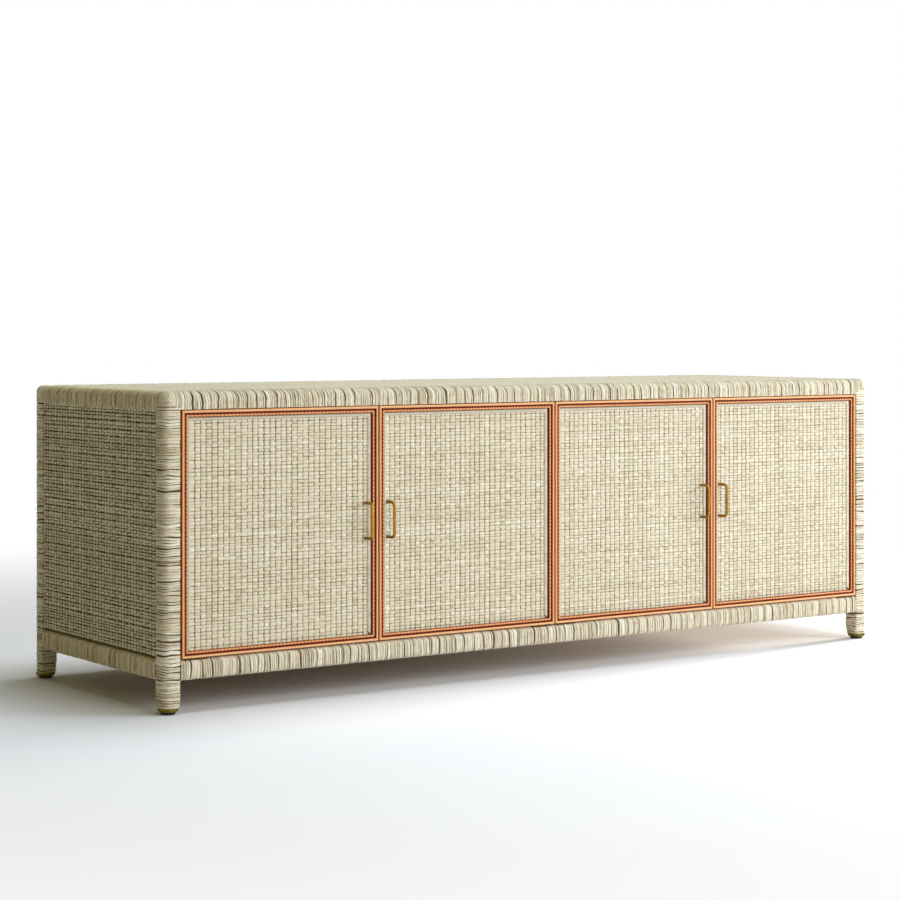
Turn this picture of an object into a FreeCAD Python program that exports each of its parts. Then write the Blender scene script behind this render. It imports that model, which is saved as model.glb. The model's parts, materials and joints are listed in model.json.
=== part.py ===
import FreeCAD, Part
import os

# Woven credenza: a rattan-wrapped post-and-rail frame, boards housed in the frame,
# and four woven doors that swing on knife hinges at their top and bottom edges.
# Millimetres. X runs along the front, Y from front to back, Z up from the floor.

# Cabinet
WIDTH = 1829.0
DEPTH = 572.0                 # front of the posts to their back, pulls left out
HEIGHT = 602.0

# Wrapped frame
POST = 36.5                   # side of a square post, over its wrapping
EDGE_ROUND = 12.0             # outer corner of each post and outer top edges of the top rails
POST_SIDE_ROUND = 4.0         # upright edges of a post beside a door, a side or the back
POST_INNER_ROUND = 2.0        # upright edge of a post that faces the inside
RAIL_ROUND = 2.5              # other outer edges of the rails
FOOT_ROUND = 3.0              # lower end of a post
RAIL_UNDERSIDE = 61.0         # floor to the bottom rails
BOTTOM_RAIL = 40.0            # height of the bottom rails
TOP_RAIL = 36.0               # height of the top rails
TENON_LENGTH = 12.0
TENON_WIDTH = 10.0
TENON_HEIGHT = 14.0
TENON_LIFT = 8.0              # underside of a rail to the underside of its tenon

# Feet
GLIDE_RADIUS = 13.5
GLIDE_HEIGHT = 4.0
GLIDE_STEM_RADIUS = 4.0
GLIDE_STEM_RISE = 12.0        # length of the stem inside the post
FERRULE_RADIUS = 18.25
FERRULE_HEIGHT = 8.0
FERRULE_CHAMFER = 3.0

# Boards and woven sheets
WEAVE = 4.0                   # thickness of a woven sheet
TOP_BOARD = 15.0
DECK_BOARD = 15.0
SIDE_BOARD = 12.0
BACK_BOARD = 9.0
PARTITION = 18.0
LEDGE = 10.0                  # width of the rebates that carry the top and the deck
GROOVE = 6.0                  # depth of the grooves that hold the side and back boards
SIDE_RECESS = 5.0             # side weave behind the faces of the rails
BACK_RECESS = 6.0             # back board behind the faces of the back rails

# Shelves
SHELF = 16.0
SHELF_UNDERSIDE = 325.0
SHELF_CLEARANCE = 1.0
SHELF_FRONT_SETBACK = 55.0
SHELF_BACK_SETBACK = 38.0
SHELF_PIN_RADIUS = 2.5
SHELF_PIN_HOUSED = 8.0        # length of a pin inside its hole
SHELF_PIN_PROUD = 8.0         # length of a pin under the shelf
SHELF_PIN_SETBACK = 90.0      # pins from the front and back faces of the cabinet

# Doors
DOORS = 4
DOOR_GAP = 2.5                # beside and between the doors
DOOR_END_GAP = 1.4            # above and below the doors
DOOR_BOARD = 16.0
BAND_WIDTH = 4.8              # half-round outer band of the trim
GROOVE_FLOOR = 3.2            # depth of the stained groove inside the band
TRIM_WIDTH = 11.6
TRIM_LIP_BACK = 9.5           # depth at which the trim holds the woven sheet down
BEAD_START = 8.0              # bead from the door's edge
BEAD_WIDTH = 3.4
BEAD_FRONT = 0.6

# Knife hinges
PIN_FROM_EDGE = 9.0
PIN_FROM_FRONT = 6.0
PIN_RADIUS = 2.0
LEAF_WIDTH = 7.0
LEAF_LENGTH = 45.0            # pin to the far end of a leaf
LEAF_THICKNESS = 2.25
LEAF_SUNK = 2.0               # depth of a leaf in its mortise
WASHER_RADIUS = 3.5
WASHER_THICKNESS = 0.8
LEAF_SCREWS = (18.0, 36.0)    # pin to each screw
LEAF_SCREW_RADIUS = 1.3
LEAF_SCREW_HEAD = 2.4
LEAF_SCREW_HEAD_DEPTH = 1.2
LEAF_SCREW_LENGTH = 9.0

# Pulls
PULL_ROD = 2.8                # radius of the bent rod
PULL_SPAN = 70.0              # leg to leg
PULL_REACH = 25.0             # woven sheet to the middle of the grip
PULL_BEND = 9.0
PULL_FROM_EDGE = 25.0         # leg to the free edge of the door
PULL_ABOVE_MIDDLE = 6.5
PULL_SCREW_RADIUS = 2.0
PULL_SCREW_GRIP = 10.0        # length of a screw inside the leg
PULL_SCREW_HEAD = 4.0
PULL_SCREW_HEAD_HEIGHT = 2.2

# Magnet catches
CATCH_WIDTH = 40.0
CATCH_DEPTH = 15.0
CATCH_NOSE = 24.0             # height of the part that meets the door
CATCH_DROP = 2.0              # nose below the underside of the top rail
CATCH_GAP = 0.4               # magnet to the closed door
CATCH_FROM_EDGE = 45.0        # middle of a catch to the free edge of the door
STRIKE_WIDTH = 36.0
STRIKE_HEIGHT = 14.0
STRIKE_THICKNESS = 1.5
STRIKE_FROM_TOP = 8.0

# Back screws
BACK_SCREW_RADIUS = 1.75
BACK_SCREW_HEAD = 3.5
BACK_SCREW_HEAD_HEIGHT = 1.8
BACK_SCREW_LENGTH = 14.0
BACK_SCREW_INSET = 30.0       # end screws of the partition's row from the board's edges
BACK_SCREWS = 5

RUNNING_CLEARANCE = 0.05      # between a pin and its bore, on the radius

# Worked out from the dimensions above
Vector = FreeCAD.Vector
X_AXIS = Vector(1, 0, 0)
Y_AXIS = Vector(0, 1, 0)
Z_AXIS = Vector(0, 0, 1)
ORIGIN = Vector(0, 0, 0)

HALF = WIDTH / 2
PULL_PROUD = PULL_REACH + PULL_ROD - TRIM_LIP_BACK
FRONT = (PULL_PROUD - DEPTH) / 2          # the pulls and the back are equally far from Y = 0
BACK = FRONT + DEPTH
POST_FOOT = GLIDE_HEIGHT + FERRULE_HEIGHT
OPENING_LOW = RAIL_UNDERSIDE + BOTTOM_RAIL
OPENING_HIGH = HEIGHT - TOP_RAIL
CEILING = HEIGHT - WEAVE - TOP_BOARD
INSIDE_X = HALF - POST
INSIDE_FRONT = FRONT + POST
INSIDE_BACK = BACK - POST
SIDE_WEAVE_X = HALF - SIDE_RECESS
SIDE_BOARD_X = SIDE_WEAVE_X - WEAVE
SIDE_INNER_X = SIDE_BOARD_X - SIDE_BOARD
BACK_BOARD_Y = BACK - BACK_RECESS - BACK_BOARD

DOOR_WIDTH = (2 * INSIDE_X - (DOORS + 1) * DOOR_GAP) / DOORS
DOOR_HEIGHT = OPENING_HIGH - OPENING_LOW - 2 * DOOR_END_GAP
DOOR_LOW = OPENING_LOW + DOOR_END_GAP
DOOR_BOARD_FRONT = TRIM_LIP_BACK + WEAVE
DOOR_BACK = DOOR_BOARD_FRONT + DOOR_BOARD
LEAF_PROUD = LEAF_THICKNESS - LEAF_SUNK


def box(low, high):
    """Block between two opposite corners."""
    size = [b - a for a, b in zip(low, high)]
    return Part.makeBox(*size, Vector(*low))


def rod(start, axis, radius, length):
    """Round bar from a point along an axis."""
    return Part.makeCylinder(radius, length, Vector(*start), axis)


def carve(shape, *tools):
    """Shape with the room for each tool cut out of it."""
    for tool in tools:
        shape = shape.cut(tool)
    return shape


def mirrored(shape):
    """The same shape on the other side of the cabinet's middle plane."""
    return shape.mirror(ORIGIN, X_AXIS)


def edges_along(shape, axis, test):
    """Straight edges along an axis whose middle point passes a test."""
    chosen = []
    for edge in shape.Edges:
        run = edge.Vertexes[-1].Point - edge.Vertexes[0].Point
        if run.Length > 0 and abs(abs(run.normalize().dot(axis)) - 1) < 1e-6:
            if test(edge.CenterOfMass):
                chosen.append(edge)
    return chosen


def near(a, b):
    """Whether two coordinates are the same."""
    return abs(a - b) < 1e-3


# Boards that the frame holds

def top_board():
    """Board under the woven top, on the ledges of the top rails."""
    return box((-INSIDE_X - LEDGE, INSIDE_FRONT - LEDGE, CEILING),
               (INSIDE_X + LEDGE, INSIDE_BACK + LEDGE, HEIGHT - WEAVE))


def top_weave():
    """Woven sheet on the top board, level with the top rails."""
    return box((-INSIDE_X - LEDGE, INSIDE_FRONT - LEDGE, HEIGHT - WEAVE),
               (INSIDE_X + LEDGE, INSIDE_BACK + LEDGE, HEIGHT))


def deck():
    """Floor of the cabinet, on the ledges of the bottom rails."""
    return box((-INSIDE_X - LEDGE, INSIDE_FRONT - LEDGE, OPENING_LOW - DECK_BOARD),
               (INSIDE_X + LEDGE, INSIDE_BACK + LEDGE, OPENING_LOW))


def side_board_left():
    """Left side board, its edges in grooves of the posts and side rails."""
    return box((-SIDE_BOARD_X, INSIDE_FRONT - GROOVE, OPENING_LOW - GROOVE),
               (-SIDE_INNER_X, INSIDE_BACK + GROOVE, OPENING_HIGH + GROOVE))


def side_weave_left():
    """Woven sheet on the left side board, between the posts and side rails."""
    return box((-SIDE_WEAVE_X, INSIDE_FRONT, OPENING_LOW),
               (-SIDE_BOARD_X, INSIDE_BACK, OPENING_HIGH))


def back_board():
    """Back board, its edges in grooves of the back posts and back rails."""
    return box((-INSIDE_X - GROOVE, BACK_BOARD_Y, OPENING_LOW - GROOVE),
               (INSIDE_X + GROOVE, BACK_BOARD_Y + BACK_BOARD, OPENING_HIGH + GROOVE))


# Wrapped posts and rails

def tenon(x, y, rail_low, along):
    """Tenon that fills the mortise of the post centred at x, y for a rail along an axis."""
    low = rail_low + TENON_LIFT
    inward_x = -1 if x > 0 else 1
    inward_y = -1 if y > (FRONT + BACK) / 2 else 1
    half = TENON_WIDTH / 2
    shoulder = POST / 2 - TENON_LENGTH
    if along == "x":
        ends = sorted((x + inward_x * shoulder, x + inward_x * POST / 2))
        return box((ends[0], y - half, low), (ends[1], y + half, low + TENON_HEIGHT))
    ends = sorted((y + inward_y * shoulder, y + inward_y * POST / 2))
    return box((x - half, ends[0], low), (x + half, ends[1], low + TENON_HEIGHT))


def post_centre(at_back):
    """Middle of the left post at the front or the back."""
    return -HALF + POST / 2, (BACK - POST / 2 if at_back else FRONT + POST / 2)


def cabinet_corner(outer_x, outer_y, at_back):
    """Block that reaches past a left post, rounded where the cabinet's two faces and its top meet."""
    reach = 2 * POST
    low_y, high_y = sorted((outer_y, outer_y - reach if at_back else outer_y + reach))
    block = box((outer_x, low_y, POST_FOOT), (outer_x + reach, high_y, HEIGHT))
    rounded = edges_along(block, Z_AXIS, lambda point: near(point.x, outer_x) and near(point.y, outer_y))
    rounded += edges_along(block, Y_AXIS, lambda point: near(point.x, outer_x) and near(point.z, HEIGHT))
    rounded += edges_along(block, X_AXIS, lambda point: near(point.y, outer_y) and near(point.z, HEIGHT))
    return block.makeFillet(EDGE_ROUND, rounded)


def post_left(at_back):
    """Left post, from its ferrule to the top, with rounded edges, mortises, grooves and a stem hole."""
    x, y = post_centre(at_back)
    half = POST / 2
    outer_x = x - half
    outer_y = y + half if at_back else y - half

    def faces_out(point):
        return near(point.x, outer_x) or near(point.y, outer_y)

    def beside(point):
        return near(point.x, outer_x) != near(point.y, outer_y)

    post = box((x - half, y - half, POST_FOOT), (x + half, y + half, HEIGHT))
    inner = edges_along(post, Z_AXIS, lambda point: not faces_out(point))
    post = post.makeFillet(POST_INNER_ROUND, inner)
    post = post.makeFillet(POST_SIDE_ROUND, edges_along(post, Z_AXIS, beside))
    post = post.common(cabinet_corner(outer_x, outer_y, at_back))
    foot = [edge for edge in post.Edges if near(edge.CenterOfMass.z, POST_FOOT)]
    post = post.makeFillet(FOOT_ROUND, foot)
    stem_hole = rod((x, y, POST_FOOT), Z_AXIS, GLIDE_STEM_RADIUS + RUNNING_CLEARANCE, GLIDE_STEM_RISE)
    mortises = [tenon(x, y, rail_low, along)
                for rail_low in (RAIL_UNDERSIDE, OPENING_HIGH) for along in ("x", "y")]
    housed = [top_board(), top_weave(), deck(), side_board_left(), back_board()]
    return carve(post, stem_hole, *mortises, *housed)


def rail_bar(low, high, outer_axis, outer, on_top):
    """Rail without tenons, with its outer edges rounded."""
    bar = box(low, high)
    length_axis = X_AXIS if outer_axis == "y" else Y_AXIS
    for level, radius in ((high[2], EDGE_ROUND if on_top else RAIL_ROUND), (low[2], RAIL_ROUND)):
        edge = edges_along(bar, length_axis, lambda point: near(getattr(point, outer_axis), outer)
                           and near(point.z, level))
        bar = bar.makeFillet(radius, edge)
    return bar


def long_rail(at_back, on_top):
    """Front or back rail, with tenons in two posts and room for the boards it holds."""
    low_z, high_z = (OPENING_HIGH, HEIGHT) if on_top else (RAIL_UNDERSIDE, OPENING_LOW)
    low_y, high_y = (INSIDE_BACK, BACK) if at_back else (FRONT, INSIDE_FRONT)
    outer = BACK if at_back else FRONT
    rail = rail_bar((-INSIDE_X, low_y, low_z), (INSIDE_X, high_y, high_z), "y", outer, on_top)
    x, y = post_centre(at_back)
    for side in (x, -x):
        rail = rail.fuse(tenon(side, y, low_z, "x"))
    boards = [top_board(), top_weave()] if on_top else [deck()]
    if at_back:
        boards.append(back_board())
    return carve(rail, *boards)


def side_rail_left(on_top):
    """Left side rail, with tenons in two posts and room for the boards it holds."""
    low_z, high_z = (OPENING_HIGH, HEIGHT) if on_top else (RAIL_UNDERSIDE, OPENING_LOW)
    rail = rail_bar((-HALF, INSIDE_FRONT, low_z), (-INSIDE_X, INSIDE_BACK, high_z), "x", -HALF, on_top)
    for at_back in (False, True):
        x, y = post_centre(at_back)
        rail = rail.fuse(tenon(x, y, low_z, "y"))
    boards = [top_board(), top_weave()] if on_top else [deck()]
    return carve(rail, side_board_left(), *boards)


# Feet

def foot_centres():
    """Middle of each post."""
    places = []
    for at_back in (False, True):
        x, y = post_centre(at_back)
        places += [(x, y), (-x, y)]
    return places


def foot_ferrule(x, y):
    """Metal ring between a post and its glide."""
    ring = rod((x, y, GLIDE_HEIGHT), Z_AXIS, FERRULE_RADIUS, FERRULE_HEIGHT)
    lower = [edge for edge in ring.Edges
             if len(edge.Vertexes) == 1 and near(edge.CenterOfMass.z, GLIDE_HEIGHT)]
    ring = ring.makeChamfer(FERRULE_CHAMFER, lower)
    bore = GLIDE_STEM_RADIUS + RUNNING_CLEARANCE
    return ring.cut(rod((x, y, GLIDE_HEIGHT), Z_AXIS, bore, FERRULE_HEIGHT))


def foot_glide(x, y):
    """Glide that meets the floor, with a stem through the ferrule into the post."""
    stem = GLIDE_HEIGHT + FERRULE_HEIGHT + GLIDE_STEM_RISE
    return rod((x, y, 0), Z_AXIS, GLIDE_RADIUS, GLIDE_HEIGHT).fuse(
        rod((x, y, 0), Z_AXIS, GLIDE_STEM_RADIUS, stem)).removeSplitter()


# Partition and shelves

def shelf_pin_places():
    """Point where each pin of the left shelf leaves its hole, and the way it points."""
    z = SHELF_UNDERSIDE - SHELF_PIN_RADIUS
    places = []
    for y in (FRONT + SHELF_PIN_SETBACK, BACK - SHELF_PIN_SETBACK):
        places.append(((-SIDE_INNER_X, y, z), 1))
        places.append(((-PARTITION / 2, y, z), -1))
    return places


def shelf_pins_left(radius, proud):
    """Round pins of the left shelf; a hole is the same shape with no proud end."""
    pins = []
    for (x, y, z), way in shelf_pin_places():
        start = x - way * SHELF_PIN_HOUSED
        pins.append(rod((start, y, z), X_AXIS * way, radius, SHELF_PIN_HOUSED + proud))
    return pins


def shelf_holes():
    """Room for the pins of both shelves."""
    holes = shelf_pins_left(SHELF_PIN_RADIUS + RUNNING_CLEARANCE, 0)
    return holes + [mirrored(hole) for hole in holes]


def centre_partition():
    """Upright board between the two compartments, notched round the top back rail."""
    board = box((-PARTITION / 2, INSIDE_FRONT, OPENING_LOW), (PARTITION / 2, BACK_BOARD_Y, CEILING))
    notch = box((-PARTITION / 2, INSIDE_BACK, OPENING_HIGH), (PARTITION / 2, BACK, HEIGHT))
    return carve(board, notch, *shelf_holes())


def shelf_left():
    """Loose shelf between the left side board and the partition."""
    return box((-SIDE_INNER_X + SHELF_CLEARANCE, FRONT + SHELF_FRONT_SETBACK, SHELF_UNDERSIDE),
               (-PARTITION / 2 - SHELF_CLEARANCE, BACK - SHELF_BACK_SETBACK, SHELF_UNDERSIDE + SHELF))


# One door, with its hinge edge at x = 0, its front at y = 0 and its lower edge at z = 0

def trim_section():
    """Section of the trim: half-round band, groove, and a lip over the woven sheet."""
    half = BAND_WIDTH / 2
    corners = [(half, BAND_WIDTH), (GROOVE_FLOOR, BAND_WIDTH), (GROOVE_FLOOR, TRIM_WIDTH),
               (TRIM_LIP_BACK, TRIM_WIDTH), (TRIM_LIP_BACK, BAND_WIDTH), (DOOR_BACK, BAND_WIDTH),
               (DOOR_BACK, 0), (half, 0)]
    points = [Vector(0, depth, inward) for depth, inward in corners]
    edges = [Part.LineSegment(a, b).toShape() for a, b in zip(points, points[1:])]
    band = Part.Arc(points[-1], Vector(0, 0, half), points[0]).toShape()
    return Part.Face(Part.Wire(edges + [band]))


def bead_section():
    """Section of the round bead that lies on the trim's lip."""
    start = Vector(0, GROOVE_FLOOR, BEAD_START)
    end = Vector(0, GROOVE_FLOOR, BEAD_START + BEAD_WIDTH)
    crown = Vector(0, BEAD_FRONT, BEAD_START + BEAD_WIDTH / 2)
    return Part.Face(Part.Wire([Part.Arc(start, crown, end).toShape(), Part.LineSegment(end, start).toShape()]))


def mitred_length(section, length):
    """Length of a section along X, cut at 45 degrees at both ends."""
    reach = 2 * TRIM_WIDTH
    corners = [(0, 0), (length, 0), (length - reach, reach), (reach, reach), (0, 0)]
    outline = Part.makePolygon([Vector(x, 0, z) for x, z in corners])
    wedge = Part.Face(outline).extrude(Y_AXIS * DOOR_BACK)
    return section.extrude(X_AXIS * length).common(wedge)


def mitred_frame(section):
    """Four mitred lengths round the door's edge: bottom, top, hinge side, free side."""
    across = mitred_length(section, DOOR_WIDTH)
    upright = mitred_length(section, DOOR_HEIGHT)
    places = ((across, 0, (0, 0, 0)), (across, 180, (DOOR_WIDTH, 0, DOOR_HEIGHT)),
              (upright, 90, (0, 0, DOOR_HEIGHT)), (upright, -90, (DOOR_WIDTH, 0, 0)))
    frame = []
    for length, turn, move in places:
        piece = length.copy()
        piece.rotate(ORIGIN, Y_AXIS, turn)
        piece.translate(Vector(*move))
        frame.append(piece)
    return frame


def hinge_levels():
    """Door edge level and outward direction of the top and bottom hinges."""
    return ((DOOR_HEIGHT, 1), (0.0, -1))


def leaf_screw(u, level, way):
    """Countersunk screw with its head at a level, driven the opposite way to the given one."""
    start = (u, PIN_FROM_FRONT, level)
    into = Z_AXIS * -way
    head = Part.makeCone(LEAF_SCREW_HEAD, LEAF_SCREW_RADIUS, LEAF_SCREW_HEAD_DEPTH, Vector(*start), into)
    return head.fuse(rod(start, into, LEAF_SCREW_RADIUS, LEAF_SCREW_LENGTH)).removeSplitter()


def leaf_screws(level, way):
    """Both screws of a leaf whose visible face is at a level."""
    return [leaf_screw(PIN_FROM_EDGE + reach, level, way) for reach in LEAF_SCREWS]


def leaf_plate(low, bore):
    """Hinge leaf above a level, round at its pin end, with a bore for the pin."""
    half = LEAF_WIDTH / 2
    plate = box((PIN_FROM_EDGE, PIN_FROM_FRONT - half, low),
                (PIN_FROM_EDGE + LEAF_LENGTH, PIN_FROM_FRONT + half, low + LEAF_THICKNESS))
    centre = (PIN_FROM_EDGE, PIN_FROM_FRONT, low)
    plate = plate.fuse(rod(centre, Z_AXIS, half, LEAF_THICKNESS)).removeSplitter()
    return plate.cut(rod(centre, Z_AXIS, bore, LEAF_THICKNESS)) if bore else plate


def leaf_low(face, way):
    """Lower level of a leaf whose visible face is at a level and looks a given way."""
    return face - LEAF_THICKNESS if way > 0 else face


def door_leaf_face(level, way):
    """Level of the visible face of the door's own leaf."""
    return level + way * LEAF_PROUD


def rail_leaf_face(level, way):
    """Level of the visible face of the leaf in the rail."""
    return level + way * (DOOR_END_GAP - LEAF_PROUD)


def door_hinge_leaves():
    """Leaves let into the door's top and bottom edges."""
    leaves = []
    for level, way in hinge_levels():
        face = door_leaf_face(level, way)
        leaf = leaf_plate(leaf_low(face, way), PIN_RADIUS + RUNNING_CLEARANCE)
        leaves.append(carve(leaf, *leaf_screws(face, way)))
    return leaves


def door_leaf_screws():
    """Screws of the door's own leaves."""
    return [screw for level, way in hinge_levels() for screw in leaf_screws(door_leaf_face(level, way), way)]


def rail_leaf_screws():
    """Screws of the leaves in the rails."""
    return [screw for level, way in hinge_levels() for screw in leaf_screws(rail_leaf_face(level, way), -way)]


def rail_hinge_leaves():
    """Leaves let into the rails above and below the door, each round a fixed pin."""
    leaves = []
    for level, way in hinge_levels():
        face = rail_leaf_face(level, way)
        leaf = leaf_plate(leaf_low(face, -way), PIN_RADIUS)
        leaves.append(carve(leaf, *leaf_screws(face, -way)))
    return leaves


def hinge_pins():
    """Pins from the rails' leaves into the door's leaves."""
    pins = []
    for level, way in hinge_levels():
        outer = rail_leaf_face(level, way) + way * LEAF_THICKNESS
        inner = door_leaf_face(level, way) - way * (LEAF_THICKNESS - RUNNING_CLEARANCE)
        low, high = sorted((outer, inner))
        pins.append(rod((PIN_FROM_EDGE, PIN_FROM_FRONT, low), Z_AXIS, PIN_RADIUS, high - low))
    return pins


def hinge_washers():
    """Washers between the leaves, on the rail's side."""
    washers = []
    for level, way in hinge_levels():
        low, high = sorted((rail_leaf_face(level, way), rail_leaf_face(level, way) - way * WASHER_THICKNESS))
        disc = rod((PIN_FROM_EDGE, PIN_FROM_FRONT, low), Z_AXIS, WASHER_RADIUS, high - low)
        bore = PIN_RADIUS + RUNNING_CLEARANCE
        washers.append(disc.cut(rod((PIN_FROM_EDGE, PIN_FROM_FRONT, low), Z_AXIS, bore, high - low)))
    return washers


def rail_mortises():
    """Room in the rails for their leaves and screws."""
    rooms = []
    for level, way in hinge_levels():
        face = rail_leaf_face(level, way)
        rooms.append(leaf_plate(leaf_low(face, -way), 0))
        rooms += leaf_screws(face, -way)
    return rooms


def pull_legs():
    """Point where each leg of the pull meets the woven sheet."""
    x = DOOR_WIDTH - PULL_FROM_EDGE
    middle = DOOR_HEIGHT / 2 + PULL_ABOVE_MIDDLE
    return [Vector(x, TRIM_LIP_BACK, middle + side * PULL_SPAN / 2) for side in (-1, 1)]


def pull_screws():
    """Screws from the back of the door into the legs of the pull."""
    screws = []
    for leg in pull_legs():
        tip = leg.y - PULL_SCREW_GRIP
        shank = rod((leg.x, tip, leg.z), Y_AXIS, PULL_SCREW_RADIUS, DOOR_BACK - tip)
        head = rod((leg.x, DOOR_BACK, leg.z), Y_AXIS, PULL_SCREW_HEAD, PULL_SCREW_HEAD_HEIGHT)
        screws.append(shank.fuse(head).removeSplitter())
    return screws


def pull_screw_holes():
    """Clearance holes for the pull's screws, from the back of the door into the legs."""
    radius = PULL_SCREW_RADIUS + RUNNING_CLEARANCE
    length = DOOR_BACK - TRIM_LIP_BACK + PULL_SCREW_GRIP
    return [rod((leg.x, DOOR_BACK, leg.z), -Y_AXIS, radius, length) for leg in pull_legs()]


def door_pull():
    """Bent round rod with two legs on the woven sheet and a straight grip."""
    low, high = pull_legs()
    grip = low.y - PULL_REACH
    bend = PULL_BEND
    # A quarter bend's middle point is this far from the two straight runs
    inset = bend * (1 - 0.5 ** 0.5)
    along_grip = [Vector(low.x, grip, low.z + bend), Vector(low.x, grip, high.z - bend)]
    leg_ends = [Vector(low.x, grip + bend, low.z), Vector(low.x, grip + bend, high.z)]
    bends = [Vector(low.x, grip + inset, low.z + inset), Vector(low.x, grip + inset, high.z - inset)]
    path = Part.Wire([
        Part.LineSegment(low, leg_ends[0]).toShape(),
        Part.Arc(leg_ends[0], bends[0], along_grip[0]).toShape(),
        Part.LineSegment(along_grip[0], along_grip[1]).toShape(),
        Part.Arc(along_grip[1], bends[1], leg_ends[1]).toShape(),
        Part.LineSegment(leg_ends[1], high).toShape()])
    section = Part.Wire(Part.Circle(low, Y_AXIS, PULL_ROD).toShape())
    bent = path.makePipeShell([section], True, False)
    return carve(bent, *pull_screw_holes())


def door_strike():
    """Steel plate let into the back of the door, in front of the magnet."""
    middle = DOOR_WIDTH - CATCH_FROM_EDGE
    high = DOOR_HEIGHT - STRIKE_FROM_TOP
    return box((middle - STRIKE_WIDTH / 2, DOOR_BACK - STRIKE_THICKNESS, high - STRIKE_HEIGHT),
               (middle + STRIKE_WIDTH / 2, DOOR_BACK, high))


def magnet_catch():
    """Magnet housing under the top board, with a nose that meets the door's strike."""
    middle = DOOR_WIDTH - CATCH_FROM_EDGE
    underside = OPENING_HIGH - DOOR_LOW - CATCH_DROP
    ceiling = CEILING - DOOR_LOW
    ends = (middle - CATCH_WIDTH / 2, middle + CATCH_WIDTH / 2)
    nose = box((ends[0], DOOR_BACK + CATCH_GAP, underside - CATCH_NOSE), (ends[1], POST + CATCH_DEPTH, underside))
    stem = box((ends[0], POST, underside - CATCH_NOSE), (ends[1], POST + CATCH_DEPTH, ceiling))
    return nose.fuse(stem).removeSplitter()


def door_board():
    """Board behind the woven sheet, inside the trim."""
    board = box((BAND_WIDTH, DOOR_BOARD_FRONT, BAND_WIDTH),
                (DOOR_WIDTH - BAND_WIDTH, DOOR_BACK, DOOR_HEIGHT - BAND_WIDTH))
    return carve(board, door_strike(), *pull_screw_holes())


def door_weave():
    """Woven sheet between the board and the lip of the trim."""
    sheet = box((BAND_WIDTH, TRIM_LIP_BACK, BAND_WIDTH),
                (DOOR_WIDTH - BAND_WIDTH, DOOR_BOARD_FRONT, DOOR_HEIGHT - BAND_WIDTH))
    return carve(sheet, *pull_screw_holes())


def door_trim():
    """Mitred trim and beads, with room for the hinge leaves and their screws."""
    rooms = [leaf_plate(leaf_low(door_leaf_face(level, way), way), 0) for level, way in hinge_levels()]
    trim = [carve(length, *rooms, *door_leaf_screws()) for length in mitred_frame(trim_section())]
    return trim + mitred_frame(bead_section())


def hinged_on_left(door):
    """Doors open in pairs, so the odd ones have their hinges on the left."""
    return door % 2 == 1


def place_on_door(door, shape):
    """A shape in one door's own frame, moved to that door's place in the cabinet."""
    left = -INSIDE_X + DOOR_GAP + (door - 1) * (DOOR_WIDTH + DOOR_GAP)
    if hinged_on_left(door):
        placed = shape.copy()
        placed.translate(Vector(left, FRONT, DOOR_LOW))
    else:
        placed = mirrored(shape)
        placed.translate(Vector(left + DOOR_WIDTH, FRONT, DOOR_LOW))
    return placed


def on_every_door(shapes):
    """The same shapes at all the doors."""
    return [place_on_door(door, shape) for door in range(1, DOORS + 1) for shape in shapes]


# Fasteners of the back board

def back_screw_places():
    """Screws from the back board into the partition."""
    low = OPENING_LOW + BACK_SCREW_INSET
    step = (OPENING_HIGH - OPENING_LOW - 2 * BACK_SCREW_INSET) / (BACK_SCREWS - 1)
    return [(0, BACK_BOARD_Y + BACK_BOARD, low + index * step) for index in range(BACK_SCREWS)]


def back_screw(place):
    """Round-headed screw through the back board into the partition."""
    head = rod(place, Y_AXIS, BACK_SCREW_HEAD, BACK_SCREW_HEAD_HEIGHT)
    shank = rod(place, -Y_AXIS, BACK_SCREW_RADIUS, BACK_BOARD + BACK_SCREW_LENGTH)
    return head.fuse(shank).removeSplitter()


def back_screw_holes():
    """Room for the shanks of the back board's screws."""
    radius = BACK_SCREW_RADIUS + RUNNING_CLEARANCE
    return [rod(place, -Y_AXIS, radius, BACK_BOARD + BACK_SCREW_LENGTH) for place in back_screw_places()]


# All the pieces by name

def frame_pieces():
    """Posts, rails and feet."""
    mortises = on_every_door(rail_mortises())
    pieces = {}
    for end, at_back in (("front", False), ("back", True)):
        post = post_left(at_back)
        pieces["post_" + end + "_left"] = [post]
        pieces["post_" + end + "_right"] = [mirrored(post)]
        for level, on_top in (("top", True), ("bottom", False)):
            rail = long_rail(at_back, on_top)
            pieces[level + "_rail_" + end] = [rail if at_back else carve(rail, *mortises)]
    for level, on_top in (("top", True), ("bottom", False)):
        rail = side_rail_left(on_top)
        pieces[level + "_rail_left"] = [rail]
        pieces[level + "_rail_right"] = [mirrored(rail)]
    pieces["foot_ferrules"] = [foot_ferrule(x, y) for x, y in foot_centres()]
    pieces["foot_glides"] = [foot_glide(x, y) for x, y in foot_centres()]
    return pieces


def board_pieces():
    """Boards, woven sheets, shelves and their pins and screws."""
    side_board = carve(side_board_left(), *shelf_holes())
    shelf = shelf_left()
    pins = shelf_pins_left(SHELF_PIN_RADIUS, SHELF_PIN_PROUD)
    pieces = {
        "top_board": [top_board()],
        "top_weave": [top_weave()],
        "deck": [deck()],
        "side_board_left": [side_board],
        "side_board_right": [mirrored(side_board)],
        "side_weave_left": [side_weave_left()],
        "side_weave_right": [mirrored(side_weave_left())],
        "back_board": [carve(back_board(), *back_screw_holes())],
        "back_screws": [back_screw(place) for place in back_screw_places()],
        "centre_partition": [carve(centre_partition(), *back_screw_holes())],
        "shelf_left": [shelf],
        "shelf_right": [mirrored(shelf)],
        "shelf_pins": pins + [mirrored(pin) for pin in pins],
    }
    return pieces


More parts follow.
